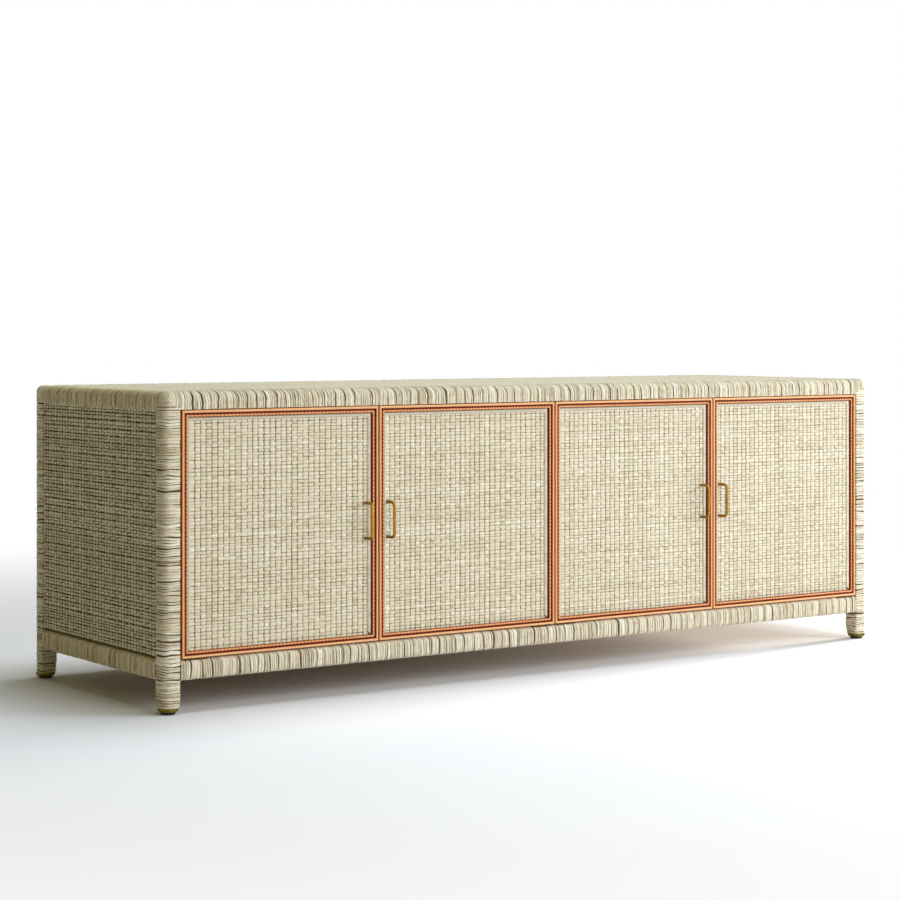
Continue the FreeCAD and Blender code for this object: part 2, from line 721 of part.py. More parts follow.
def hinge_pieces():
    """Hinge leaves, pins and washers on the rails, and the magnet catches."""
    return {
        "hinge_rail_leaves": on_every_door(rail_hinge_leaves()),
        "hinge_rail_screws": on_every_door(rail_leaf_screws()),
        "hinge_pins": on_every_door(hinge_pins()),
        "hinge_washers": on_every_door(hinge_washers()),
        "magnet_catches": on_every_door([magnet_catch()]),
    }


def door_pieces(door):
    """Everything that swings with one door."""
    own = {
        "board": [door_board()],
        "weave": [door_weave()],
        "trim": door_trim(),
        "pull": [door_pull()],
        "screws": pull_screws() + door_leaf_screws(),
        "hinge_leaves": door_hinge_leaves(),
        "strike": [door_strike()],
    }
    return {"door_%d_%s" % (door, name): [place_on_door(door, shape) for shape in shapes]
            for name, shapes in own.items()}


def main():
    pieces = {**frame_pieces(), **board_pieces(), **hinge_pieces()}
    for door in range(1, DOORS + 1):
        pieces.update(door_pieces(door))
    os.makedirs("parts", exist_ok=True)
    for name, shapes in pieces.items():
        solids = [solid for shape in shapes for solid in shape.Solids]
        if len(solids) != len(shapes):
            raise ValueError("%s has %d shapes and %d solids" % (name, len(shapes), len(solids)))
        whole = solids[0] if len(solids) == 1 else Part.makeCompound(solids)
        whole.exportStep(os.path.join("parts", name + ".step"))
    print(len(pieces), "pieces written")


main()
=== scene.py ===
"""Dresses the woven credenza: wrapped frame, woven panels, stained trim, brass pulls, and its stage."""
import json
import math
from collections import namedtuple

import bpy
import numpy as np
from bpy.props import FloatProperty, FloatVectorProperty, IntProperty, PointerProperty
from bpy.types import Operator, Panel, PropertyGroup
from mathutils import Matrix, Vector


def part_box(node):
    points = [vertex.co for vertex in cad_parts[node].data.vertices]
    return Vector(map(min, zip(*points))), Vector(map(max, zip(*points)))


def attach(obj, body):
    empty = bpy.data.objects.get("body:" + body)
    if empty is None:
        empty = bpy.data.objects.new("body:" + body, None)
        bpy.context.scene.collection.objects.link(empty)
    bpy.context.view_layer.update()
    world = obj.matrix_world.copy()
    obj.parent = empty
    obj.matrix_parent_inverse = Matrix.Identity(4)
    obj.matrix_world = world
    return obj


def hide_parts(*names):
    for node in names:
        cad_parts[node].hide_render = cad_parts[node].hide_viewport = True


bl_info = {
    "name": "Woven credenza",
    "version": (1, 0, 0),
    "blender": (4, 5, 0),
    "location": "3D View > Sidebar > Credenza",
    "description": "Builds the strands, trim, pulls, feet and stage of a woven four-door credenza",
    "category": "Object",
}

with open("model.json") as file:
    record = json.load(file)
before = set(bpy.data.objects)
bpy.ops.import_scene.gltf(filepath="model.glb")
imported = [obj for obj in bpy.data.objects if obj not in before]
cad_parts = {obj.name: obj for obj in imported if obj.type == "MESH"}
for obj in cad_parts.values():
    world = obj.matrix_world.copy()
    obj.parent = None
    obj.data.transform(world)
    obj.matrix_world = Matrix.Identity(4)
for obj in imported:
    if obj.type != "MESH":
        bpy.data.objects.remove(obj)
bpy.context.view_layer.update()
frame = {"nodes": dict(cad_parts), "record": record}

MM = 0.001
SEED = 11
FULL_TURN = 2 * math.pi
WHITE = (1.0, 1.0, 1.0)
DOORS = ("door_1", "door_2", "door_3", "door_4")
POSTS = ("post_front_left", "post_front_right", "post_back_left", "post_back_right")
X_AXIS = np.array((1.0, 0.0, 0.0))
Y_AXIS = np.array((0.0, 1.0, 0.0))
Z_AXIS = np.array((0.0, 0.0, 1.0))

# Section of a flat strand: place across its width, and height as a share of its thickness
STRAND_SECTION = np.array(((-0.5, -0.62), (-0.34, -0.15), (0.0, 0.0), (0.34, -0.15), (0.5, -0.62),
                           (0.0, -1.0)))

# A straight piece that strands go round: its start, unit vectors along it, out of its face and up its face,
# and its length
Bar = namedtuple("Bar", "origin along out up length")

# Strands with the same number of points: top centre lines, outward normals, widths, thickness, one tone for
# each strand, whether they are closed rings, painted shade at each point, and painted shade on the two rims of
# each strand
Batch = namedtuple("Batch", "points normals widths thickness tones closed soil rims")


# Settings that a user may change

def linear(red, green, blue):
    """Linear colour of an sRGB one given in steps of 0 to 255."""
    shares = (step / 255 for step in (red, green, blue))
    return tuple(s / 12.92 if s <= 0.04045 else ((s + 0.055) / 1.055) ** 2.4 for s in shares)


def size(name, description, default):
    """Property for a length in metres."""
    return FloatProperty(name=name, description=description, default=default, min=0.0, precision=5,
                         unit="LENGTH")


def share(name, description, default):
    """Property for a share from 0 to 1."""
    return FloatProperty(name=name, description=description, default=default, min=0.0, max=1.0,
                         subtype="FACTOR")


def colour(name, description, default):
    """Property for a linear colour."""
    return FloatVectorProperty(name=name, description=description, default=default, size=3, min=0.0, max=1.0,
                               subtype="COLOR")


def power(name, description, default):
    """Property for the power of a light in watts."""
    return FloatProperty(name=name, description=description, default=default, min=0.0, subtype="POWER")


class WrapSettings(PropertyGroup):
    """Strands wound round the posts and rails."""

    width: size("Strand width", "Mean width of a strand", 5.2 * MM)
    spread: share("Width spread", "How much the strands differ in width", 0.3)
    thickness: size("Strand thickness", "Depth of a strand's side", 2.2 * MM)
    sink: size("Sink", "How far the deepest strand lies below the highest", 0.8 * MM)
    wave: size("Wave", "How far neighbouring strands stray together along the bar", 0.9 * MM)
    own_wave: size("Own wave", "How far one strand strays by itself", 0.4 * MM)
    post_open: share("Open on posts", "Share of a post's strands with a dark gap beside them", 0.4)
    mitre_open: share("Open at mitres", "The same on the mitred strands of the upper corners", 0.2)
    bundle: IntProperty(name="Bundle", description="Strands between two gaps of a rail", default=4, min=2)
    lean: size("Lean", "How far a rail's strands lean back at its upper edge", 4.5 * MM)
    core_inset: size("Core inset", "Wooden core below the top of the strands", 2.0 * MM)
    outer_round: size("Outer round", "Rounding of the cabinet's corners and upper edges", 16 * MM)
    side_round: size("Side round", "Rounding of a post beside a door or a side", 4 * MM)
    rail_round: size("Rail round", "Rounding of the lower rails", 9 * MM)
    inner_round: size("Inner round", "Rounding of hidden edges", 2 * MM)
    foot_radius: size("Foot radius", "Post's wrapping where it meets the ferrule", 21.2 * MM)
    foot_rise: size("Foot rise", "Height over which a post draws in to its ferrule", 45 * MM)
    tuck: size("Tuck", "How deep the ends of strands go under at a mitred corner", 1.2 * MM)


class WeaveSettings(PropertyGroup):
    """Stakes and weavers of the woven panels."""

    stake_pitch: size("Stake pitch", "Distance between stakes", 12.4 * MM)
    row_pitch: size("Row pitch", "Distance between weavers", 6.4 * MM)
    side_row_pitch: size("Side row pitch", "Distance between weavers on the sides", 6.85 * MM)
    stake_cover: share("Stake cover", "Width of a stake as a share of its pitch", 0.9)
    side_stake_cover: share("Side stake cover", "The same on the sides", 0.76)
    # In this gap the dark backing sheet shows as a painted shadow line above the rail
    side_foot_gap: size("Side foot gap", "Gap between the weave of a side and the rail under it", 5.5 * MM)
    weaver_cover: share("Weaver cover", "Width of a weaver as a share of its pitch", 0.92)
    side_cover: share("Side cover", "The same on the sides, whose weavers stand apart", 0.7)
    pairing: share("Pairing", "How far weavers draw together in pairs, as a share of their pitch", 0.03)
    side_pairing: share("Side pairing", "The same on the sides", 0.11)
    # Crossing shade and side crossing shade paint shade onto strands beside the gaps where they dip under
    # others; the sides' is darker, painted for their shade
    gap_soil: share("Gap soil", "Dirt on stakes beside a gap between weavers", 0.26)
    side_gap_soil: share("Side gap soil", "The same on the sides", 0.7)
    swell: share("Swell", "How much a weaver widens where it lies on top", 0.06)
    wave: size("Wave", "How far a strand rises and falls about the middle of the panel", 0.7 * MM)
    uneven: share("Unevenness", "How much the crossings differ in height and width", 0.13)
    stake_thickness: size("Stake thickness", "Thickness of a stake", 1.1 * MM)
    weaver_thickness: size("Weaver thickness", "Thickness of a weaver", 1.5 * MM)
    stray: size("Stray", "How far a strand wanders from its line", 0.4 * MM)
    tone_spread: share("Tone spread", "How much the strands differ in tone", 0.6)
    # The sides' paler, more varied tones belong to their copy painted for their shade, lifting the strands
    # against the darker gaps
    side_tone_spread: share("Side tone spread", "The same on the sides", 0.7)
    tone: share("Tone", "Middle tone of the strands, from dark to pale", 0.5)
    side_tone: share("Side tone", "The same on the sides", 0.85)
    largest_piece: IntProperty(name="Largest piece", description="Most stations of strands in one piece",
                               default=14000, min=1000)


class TrimSettings(PropertyGroup):
    """Stained trim of the doors."""

    band: size("Band", "Width of the half-round outer band", 5.2 * MM)
    groove: size("Groove", "Depth of the groove floor", 3.2 * MM)
    lip: size("Lip", "Width of the whole trim", 12.8 * MM)
    bead_start: size("Bead start", "Bead from the door's edge", 8.4 * MM)
    bead_width: size("Bead width", "Width of the bead", 4.2 * MM)
    bead_front: size("Bead front", "Depth of the bead's crest", 1.4 * MM)
    bead_pitch: size("Bead pitch", "Distance between the notches of the bead", 8.4 * MM)
    bead_notch: share("Bead notch", "Depth of a notch as a share of the bead", 0.22)
    border_width: size("Border width", "Pale strand that edges the woven panel", 7.4 * MM)
    top_reach: size("Top reach", "How far the trim rises into the gap above the door", 0.8 * MM)
    border_height: size("Border height", "Rise of that strand over the panel", 3.4 * MM)


class FinishSettings(PropertyGroup):
    """Colours of the finishes."""

    straw_light: colour("Light straw", "Palest strands", linear(236, 231, 214))
    straw: colour("Straw", "Most strands", linear(219, 207, 185))
    straw_dark: colour("Dark straw", "Darkest strands", linear(184, 168, 137))
    straw_blush: colour("Blush straw", "Strands with a pink cast", linear(221, 199, 178))
    straw_green: colour("Green straw", "Strands with a green cast", linear(207, 202, 173))
    # The three edge colours are painted shade: strands blend toward them on their rims and where they dip under
    # others, where shade falls; the darkest, on the sides, paints the sides' own shade
    strand_edge: colour("Strand edge", "Edges of strands, where dirt gathers", linear(98, 77, 40))
    weave_edge: colour("Weave edge", "The same on the doors and top, which are cleaner", linear(124, 100, 58))
    side_edge: colour("Side edge", "The same on the sides, which are dirtier", linear(48, 33, 8))
    # Warm tint multiplied into the side finishes: painted warm shade of the sides
    side_cast: colour("Side cast", "Yellowing of the sides", (1.0, 0.95, 0.82))
    # The core colour is painted shade where the wood core and backing sheet show between strands; metals and
    # glides also take it as their dark colour
    core: colour("Core", "Wood and backing behind the strands", linear(52, 37, 12))
    stain_crest: colour("Stain crest", "Stained cane where it is rubbed pale", linear(228, 176, 128))
    stain: colour("Stain", "Stained cane", linear(198, 106, 50))
    stain_groove: colour("Stain groove", "Stained cane in its grooves", linear(92, 28, 5))
    veneer: colour("Veneer", "Pale figure of the boards", linear(214, 188, 148))
    veneer_dark: colour("Dark veneer", "Dark figure of the boards", linear(176, 142, 98))
    brass: colour("Brass", "Pulls", linear(166, 124, 46))
    brass_dark: colour("Dull brass", "Handled and dulled brass", linear(98, 68, 20))
    aged_brass: colour("Aged brass", "Ferrules", linear(116, 100, 42))
    aged_dark: colour("Dark aged brass", "Ferrules where they are worn dark", linear(66, 56, 22))
    bronze: colour("Bronze", "Hinge leaves and washers", linear(84, 62, 36))
    steel: colour("Steel", "Screws, pins and strikes", linear(190, 192, 196))
    plastic: colour("Glide", "Black plastic of the glides", linear(14, 13, 12))
    catch: colour("Catch", "Beige plastic of the catches", linear(206, 190, 160))


class StageSettings(PropertyGroup):
    """Camera, lights and floor."""

    place: FloatVectorProperty(name="Camera place", description="Place of the camera", size=3, unit="LENGTH",
                               default=(-2.85178, -3.965516, 0.71623))
    turn: FloatProperty(name="Camera turn", description="Turn of the level camera about the vertical",
                        unit="ROTATION", default=math.radians(-35.00974))
    lens: FloatProperty(name="Lens", description="Focal length in millimetres", default=89.3491, min=1.0)
    rise: FloatProperty(name="Lens rise", description="Vertical shift of the lens", default=-0.13398)
    key: power("Key light", "Power of the light at the right", 140.0)
    front: power("Front light", "Power of the wide light in front", 96.0)
    overhead: power("Overhead light", "Power of the wide light above", 66.0)
    low: power("Low light", "Power of the low light at the right, which only the floor takes", 640.0)
    cool: colour("Cool light", "Colour of the key and overhead lights", (0.76, 0.88, 1.0))
    mild: colour("Mild light", "Colour of the front light", (1.0, 0.98, 0.94))
    warm: colour("Warm light", "Colour of the low light", (1.0, 0.96, 0.86))
    ambient: FloatProperty(name="Ambient", description="Light from all round", default=0.15, min=0.0)
    surroundings: colour("Surroundings", "Colour of the light from all round", (1.0, 0.92, 0.2))
    floor: colour("Floor", "Pale floor", linear(218, 215, 219))


# Node materials

class Value:
    """One output of a tree of nodes; sums on it add Math nodes."""

    def __init__(self, nodes, socket):
        self.nodes = nodes
        self.socket = socket

    def math(self, operation, *terms):
        return self.nodes.add("ShaderNodeMath", {"operation": operation}, dict(enumerate(terms)))

    def __add__(self, other):
        return self.math("ADD", self, other)

    def __radd__(self, other):
        return self.math("ADD", other, self)

    def __sub__(self, other):
        return self.math("SUBTRACT", self, other)

    def __rsub__(self, other):
        return self.math("SUBTRACT", other, self)

    def __mul__(self, other):
        return self.math("MULTIPLY", self, other)

    def __rmul__(self, other):
        return self.math("MULTIPLY", other, self)

    def between(self, low, high):
        """0 below low, 1 above high, and a smooth rise between."""
        return self.nodes.add("ShaderNodeMapRange", {"interpolation_type": "SMOOTHSTEP"},
                              {"Value": self, "From Min": low, "From Max": high})


class Nodes:
    """A tree of nodes that is being written."""

    def __init__(self, tree):
        self.tree = tree

    def feed(self, socket, value):
        """Links a value to a socket, or sets the socket to a number or colour."""
        if isinstance(value, Value):
            self.tree.links.new(value.socket, socket)
        elif socket.type == "RGBA":
            socket.default_value = (*value[:3], 1.0)
        else:
            socket.default_value = value

    def add(self, kind, settings=None, inputs=None, output=0):
        """A new node with its settings, then its inputs; returns one of its outputs."""
        node = self.tree.nodes.new(kind)
        for name, setting in (settings or {}).items():
            setattr(node, name, setting)
        for key, value in (inputs or {}).items():
            self.feed(node.inputs[key], value)
        return Value(self, node.outputs[output])

    def mark(self, name):
        """A number that the mesh holds for each of its points."""
        return self.add("ShaderNodeAttribute", {"attribute_name": name}, output="Fac")

    def vector(self, x, y, z):
        return self.add("ShaderNodeCombineXYZ", {}, {"X": x, "Y": y, "Z": z})

    def place(self):
        """Place on the piece, in metres, as separate numbers."""
        coordinates = self.add("ShaderNodeTexCoord", output="Object")
        return [self.add("ShaderNodeSeparateXYZ", {}, {0: coordinates}, output=axis) for axis in range(3)]

    def noise(self, vector, detail=2.0, roughness=0.5):
        return self.add("ShaderNodeTexNoise", {}, {"Vector": vector, "Scale": 1.0, "Detail": detail,
                                                   "Roughness": roughness})

    def grain(self, scales, detail=2.0, roughness=0.5):
        """Noise over the place on the piece, with a scale for each axis."""
        x, y, z = [part * scale for part, scale in zip(self.place(), scales)]
        return self.noise(self.vector(x, y, z), detail, roughness)

    def blend(self, factor, first, second, how="MIX"):
        """Colour between two colours."""
        return self.add("ShaderNodeMix", {"data_type": "RGBA", "blend_type": how},
                        {0: factor, 6: first, 7: second}, output=2)

    def bump(self, height, strength, distance):
        return self.add("ShaderNodeBump", {}, {"Height": height, "Strength": strength, "Distance": distance})


def new_finish(name):
    """An empty material and its nodes."""
    material = bpy.data.materials.new(name)
    material.use_nodes = True
    return material, Nodes(material.node_tree)


def set_shader(material, **sockets):
    """Feeds the material's main shader; an underscore in a name stands for a space."""
    shader = material.node_tree.nodes["Principled BSDF"]
    nodes = Nodes(material.node_tree)
    for name, value in sockets.items():
        nodes.feed(shader.inputs[name.replace("_", " ")], value)
    return material


def rattan_finish(name, colours, edge, shade_tint=WHITE):
    """Natural rattan strands: straw of many tones, long fibres, and painted shade along the edges and in the
    gaps, with blotchy dirt.
    """
    material, nodes = new_finish(name)
    tone = nodes.mark("tone")
    along = nodes.mark("along")
    across = nodes.mark("across")
    soil = nodes.mark("soil")
    own = tone * 611.0  # takes each strand to its own part of the noise
    blotch = nodes.noise(nodes.vector(along * 75.0, own, 0.0))
    cast = nodes.noise(nodes.vector(along * 14.0, own, 5.0), detail=1.0)
    fibre = nodes.noise(nodes.vector(along * 55.0, across * 4.0 + own, own), detail=3.0, roughness=0.6)
    mood = tone * 0.6 + blotch * 0.9 - 0.23
    straw = nodes.blend(mood.between(0.1, 0.5), colours.straw_dark, colours.straw)
    straw = nodes.blend(mood.between(0.5, 0.95), straw, colours.straw_light)
    straw = nodes.blend(cast.between(0.52, 0.7) * 0.5, straw, colours.straw_blush)
    straw = nodes.blend(cast.between(0.48, 0.3) * 0.5, straw, colours.straw_green)
    worn = nodes.blend(fibre.between(0.4, 0.8) * 0.5, straw, colours.straw_dark)
    # On the sides a warm tint is multiplied in: painted warm shade
    worn = nodes.blend(1.0, worn, shade_tint, "MULTIPLY")
    # Painted shade from the mark on rims and crossings, made uneven with blotchy dirt, blends toward the edge
    # colour
    shade_and_dirt = (soil + (blotch - 0.5) * 0.3).between(0.15, 1.0)
    tinted = nodes.blend(shade_and_dirt, worn, edge)
    return set_shader(material, Base_Color=tinted, Roughness=0.52 + fibre * 0.22, Specular_IOR_Level=0.16,
                      Normal=nodes.bump(fibre, 0.4, 0.25 * MM))


def core_finish(name, colours):
    """Wood core and backing sheet, dark as painted shade where they show in the gaps between strands."""
    material, nodes = new_finish(name)
    grain = nodes.grain((90.0, 90.0, 90.0))
    tint = nodes.blend(grain, colours.core, colours.strand_edge)
    return set_shader(material, Base_Color=tint, Roughness=0.75 + grain * 0.2)


def cane_finish(name, colours):
    """Cane stained orange-brown: rubbed pale on its crests and dark where the stain gathers."""
    material, nodes = new_finish(name)
    stain = nodes.mark("across")
    along = nodes.mark("along")
    tone = nodes.mark("tone")
    fibre = nodes.noise(nodes.vector(along * 45.0, stain * 6.0 + tone * 40.0, tone * 9.0), detail=3.0,
                        roughness=0.6)
    cloud = nodes.noise(nodes.vector(along * 16.0, tone * 30.0, 2.0))
    level = stain + (cloud - 0.5) * 0.25 + (fibre - 0.5) * 0.18
    tint = nodes.blend(level.between(0.0, 0.45), colours.stain_crest, colours.stain)
    tint = nodes.blend(level.between(0.42, 0.85), tint, colours.stain_groove)
    return set_shader(material, Base_Color=tint, Roughness=0.45 + fibre * 0.2, Specular_IOR_Level=0.12,
                      Normal=nodes.bump(fibre, 0.25, 0.2 * MM))


def veneer_finish(name, colours, long_axis):
    """Lacquered veneer with its figure along one axis of the cabinet."""
    material, nodes = new_finish(name)
    stretch = [3.0 if axis == long_axis else 38.0 for axis in range(3)]
    figure = nodes.grain(stretch, detail=4.0, roughness=0.6)
    pores = nodes.grain([scale * 9.0 for scale in stretch])
    wood = nodes.blend(figure.between(0.3, 0.72), colours.veneer, colours.veneer_dark)
    wood = nodes.blend(pores.between(0.55, 0.8) * 0.35, wood, colours.strand_edge)
    return set_shader(material, Base_Color=wood, Roughness=0.42 + pores * 0.16,
                      Normal=nodes.bump(pores, 0.12, 0.2 * MM))


def metal_finish(name, bright, dull, scale, rough):
    """Metal with fine drawn lines and dulled patches."""
    material, nodes = new_finish(name)
    patch = nodes.grain((scale, scale, scale), detail=3.0)
    lines = nodes.grain((900.0, 900.0, 60.0))
    tint = nodes.blend(patch.between(0.4, 0.75) * 0.6, bright, dull)
    return set_shader(material, Base_Color=tint, Metallic=1.0, Roughness=rough + patch * 0.12 + lines * 0.06,
                      Normal=nodes.bump(lines, 0.06, 0.1 * MM))


def plastic_finish(name, tint, lighter):
    """Moulded plastic with a fine grain."""
    material, nodes = new_finish(name)
    grain = nodes.grain((700.0, 700.0, 700.0))
    shade = nodes.blend(grain * 0.3, tint, lighter)
    return set_shader(material, Base_Color=shade, Roughness=0.55 + grain * 0.15, Specular_IOR_Level=0.2,
                      Normal=nodes.bump(grain, 0.15, 0.1 * MM))


def finish_named(name):
    """The material of that name, made on its first use."""
    found = bpy.data.materials.get(name)
    if found:
        return found
    colours = bpy.context.scene.credenza_finish
    makers = {
        "rattan wrapping": (rattan_finish, colours, colours.strand_edge),
        # The side finishes are copies painted for the sides' shade: a darker edge colour and a warm tint
        "rattan side wrapping": (rattan_finish, colours, colours.side_edge, colours.side_cast),
        "rattan weave": (rattan_finish, colours, colours.weave_edge),
        "rattan side weave": (rattan_finish, colours, colours.side_edge, colours.side_cast),
        "shaded core": (core_finish, colours),
        "stained cane": (cane_finish, colours),
        "veneer along": (veneer_finish, colours, 0),
        "veneer upright": (veneer_finish, colours, 2),
        "satin brass": (metal_finish, colours.brass, colours.brass_dark, 120.0, 0.3),
        "aged brass": (metal_finish, colours.aged_brass, colours.aged_dark, 160.0, 0.4),
        "dark bronze": (metal_finish, colours.bronze, colours.core, 160.0, 0.42),
        "plated steel": (metal_finish, colours.steel, colours.core, 300.0, 0.3),
        "glide plastic": (plastic_finish, colours.plastic, colours.core),
        "catch plastic": (plastic_finish, colours.catch, colours.veneer),
    }
    maker, *details = makers[name]
    return maker(name, *details)


# Meshes

RIM_FALL = 6                     # power by which painted shade fades from the rim of a strand to its middle
FIRST_PLACES = (0.0, 50.0)       # range of the place along the noise at which a strand starts
END_STRIP = 0.001                # width of a strand's end on the flat map


class PieceMesh:
    """Points, faces and marks of one piece, gathered part by part."""

    def __init__(self):
        self.points = []
        self.faces = []
        self.corners = []
        self.marks = {"tone": [], "along": [], "across": [], "soil": []}
        self.materials = []
        self.count = 0
        self.rows = 0

    def add_loops(self, points, closed, tones, along, across, soil=0.0, material=0):
        """Closed sections set along lines: points by strand, station and place on the section."""
        strands, stations, places = points.shape[:3]
        index = self.count + np.arange(strands * stations * places).reshape(strands, stations, places)
        steps = np.arange(stations if closed else stations - 1)
        after = (steps + 1) % stations
        sides = np.arange(places)
        beside = (sides + 1) % places
        faces = np.stack([index[:, steps][:, :, sides], index[:, after][:, :, sides],
                          index[:, after][:, :, beside], index[:, steps][:, :, beside]], -1)
        row, step, side = np.meshgrid(np.arange(strands), steps, sides, indexing="ij")
        u = np.stack([step, step + 1, step + 1, step], -1) / stations
        v = self.rows + row[..., None] + np.stack([side, side, side + 1, side + 1], -1) / places
        self.take(faces, u, v, material)
        if not closed:
            self.add_ends(index, places, material)
        self.points.append(points.reshape(-1, 3))
        shape = (strands, stations, places)
        for name, values in (("tone", np.asarray(tones)[:, None, None]), ("along", along[:, :, None]),
                             ("across", np.asarray(across).reshape(1, -1, places)), ("soil", soil)):
            self.marks[name].append(np.broadcast_to(values, shape).ravel())
        self.count += strands * stations * places
        self.rows += strands

    def take(self, faces, u, v, material):
        """Keeps faces with the places of their corners on the flat map."""
        self.faces.append(faces.reshape(-1, 4))
        self.corners.append(np.stack([u, v], -1).reshape(-1, 2))
        self.materials.append(np.full(faces.size // 4, material))

    def add_ends(self, index, places, material):
        """Flat ends of open lines."""
        half = places // 2
        for ring, turned in ((index[:, 0], False), (index[:, -1], True)):
            for k in range(half - 1):
                order = [k, k + 1, places - 2 - k, places - 1 - k]
                faces = ring[:, order[::-1] if turned else order]
                row = np.arange(len(ring))[:, None]
                u = np.broadcast_to(np.array((0.0, END_STRIP, END_STRIP, 0.0)), faces.shape)
                v = self.rows + row + np.array((k, k, k + 1, k + 1)) / places
                self.take(faces, u, np.broadcast_to(v, faces.shape), material)

    def add_ribbons(self, batch, rng):
        """Flat strands along the lines of a batch."""
        if batch.closed:
            run = np.roll(batch.points, -1, 1) - np.roll(batch.points, 1, 1)
        else:
            run = np.gradient(batch.points, axis=1)
        side = np.cross(batch.normals, run)
        side /= np.linalg.norm(side, axis=-1, keepdims=True)
        spread = batch.widths[:, :, None, None] * STRAND_SECTION[:, :1]
        drop = batch.thickness * STRAND_SECTION[:, 1:]
        points = batch.points[:, :, None] + side[:, :, None] * spread + batch.normals[:, :, None] * drop
        steps = np.linalg.norm(np.diff(batch.points, axis=1), axis=-1)
        along = np.concatenate([np.zeros((len(steps), 1)), np.cumsum(steps, 1)], 1)
        along = along + rng.uniform(*FIRST_PLACES, (len(steps), 1))
        across = STRAND_SECTION[:, 0] * 2
        # Painted shade: the rims' share, fading inward, and that at each station
        rims = np.where(across < 0, batch.rims[:, :1], batch.rims[:, 1:]) * np.abs(across) ** RIM_FALL
        soil = np.maximum(batch.soil[:, :, None], rims[:, None])
        self.add_loops(points, batch.closed, batch.tones, along, across, soil)

    def add_core(self, sections):
        """Core that shows between strands, dark as painted shade, in the second finish: closed sections, given
        end by end.
        """
        points = np.array(sections)[None]
        stations, places = points.shape[1:3]
        along = np.linspace(0.0, 1.0, stations)[None]
        self.add_loops(points, False, [0.5], along, np.zeros(places), material=1)

    def build(self, name, body, replaced, finishes, crease=55.0):
        """Makes the finished object, which rides on a body and stands for the replaced nodes."""
        mesh = bpy.data.meshes.new(name)
        mesh.from_pydata(np.concatenate(self.points), [], np.concatenate(self.faces))
        for mark, values in self.marks.items():
            held = mesh.attributes.new(mark, "FLOAT", "POINT")
            held.data.foreach_set("value", np.concatenate(values).astype(np.float32))
        flat = np.concatenate(self.corners) / np.array((1.0, self.rows))
        layer = mesh.uv_layers.new(name="OFBake", do_init=False)
        layer.uv.foreach_set("vector", flat.astype(np.float32).ravel())
        mesh.polygons.foreach_set("material_index", np.concatenate(self.materials).astype(np.int32))
        mesh.shade_smooth()
        mesh.set_sharp_from_angle(angle=math.radians(crease))
        for finish in finishes:
            mesh.materials.append(finish_named(finish))
        piece = bpy.data.objects.new(name, mesh)
        bpy.context.scene.collection.objects.link(piece)
        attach(piece, body)
        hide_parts(*replaced)


def box_of(node):
    """Lowest and highest corner of a CAD node as arrays."""
    low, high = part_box(node)
    return np.array(low), np.array(high)


def line_lengths(points):
    """Distance run along a line of points."""
    steps = np.linalg.norm(np.diff(points, axis=0), axis=-1)
    return np.concatenate([[0.0], np.cumsum(steps)])


def random_for(*words):
    """Random draws that belong to one piece and are the same on every run."""
    return np.random.default_rng([SEED, *(ord(letter) for letter in " ".join(words))])


# Wrapped posts and rails

POST_STEP = 4 * MM               # longest straight step of a strand round a post
RAIL_STEP = 6 * MM
WHOLE_SIDE = 1.0                 # longer than any side of a core, so that each stays one step
SLOT_LIMITS = (0.5, 1.9)         # narrowest and widest slot of a strand, as shares of the mean one
WAVE_COUNT = 4                   # waves in the stray that neighbouring strands share
WAVE_LENGTHS = (22 * MM, 95 * MM)
WAVE_TURNS = (-1.6, 1.6)         # how far such a wave turns on its way round a bar
STRAY_ROOM = 12 * MM             # from a bar's end, over which its strands take up their stray
LEAN_ROOM = 40 * MM              # the same for their lean
FILLED = (0.96, 1.03)            # share of its slot that a strand fills before its gap is taken off
OPEN_GAP = (0.34, 0.52)          # gap of an open strand as a share of its slot
CLOSED_GAP = 0.03
LEAST_GAP = 0.3                  # share of a gap that is left where it is narrowest
ANYWHERE = (0.0, 1.0)            # range of the way round a bar where a gap is widest
RAIL_FACE = (0.3, 0.44)          # the same for the outer face of a rail
POST_RIMS = (0.35, 0.95)         # painted shade on the rims of strands, where neighbours meet
FRONT_RIMS = (0.3, 0.85)
# Side rails paint their rims darkest, as shade of the sides
SIDE_RIMS = (0.8, 1.0)
MITRE_STATIONS = 25
TUCK_FALL = 10                   # power by which the tuck of a mitred strand fades from its ends
FOOT_LEVELS = (0.0, 0.3, 0.6, 1.0)  # sections of a post's core, as shares of the rise of its foot
CAP_TURNS = (0, 30, 60, 85)      # sections of its rounded top, in degrees
LEDGE = 10 * MM                  # inner part of a rail's top that the top or the deck covers
SIDE_LEDGE = 9 * MM              # the part of a lower side rail's top that shows outside
CORE_SLOPE = 3 * MM              # fall of a rail's core toward the inside


def left_of(direction):
    """A plane direction turned a quarter to the left."""
    return np.array((-direction[1], direction[0]))


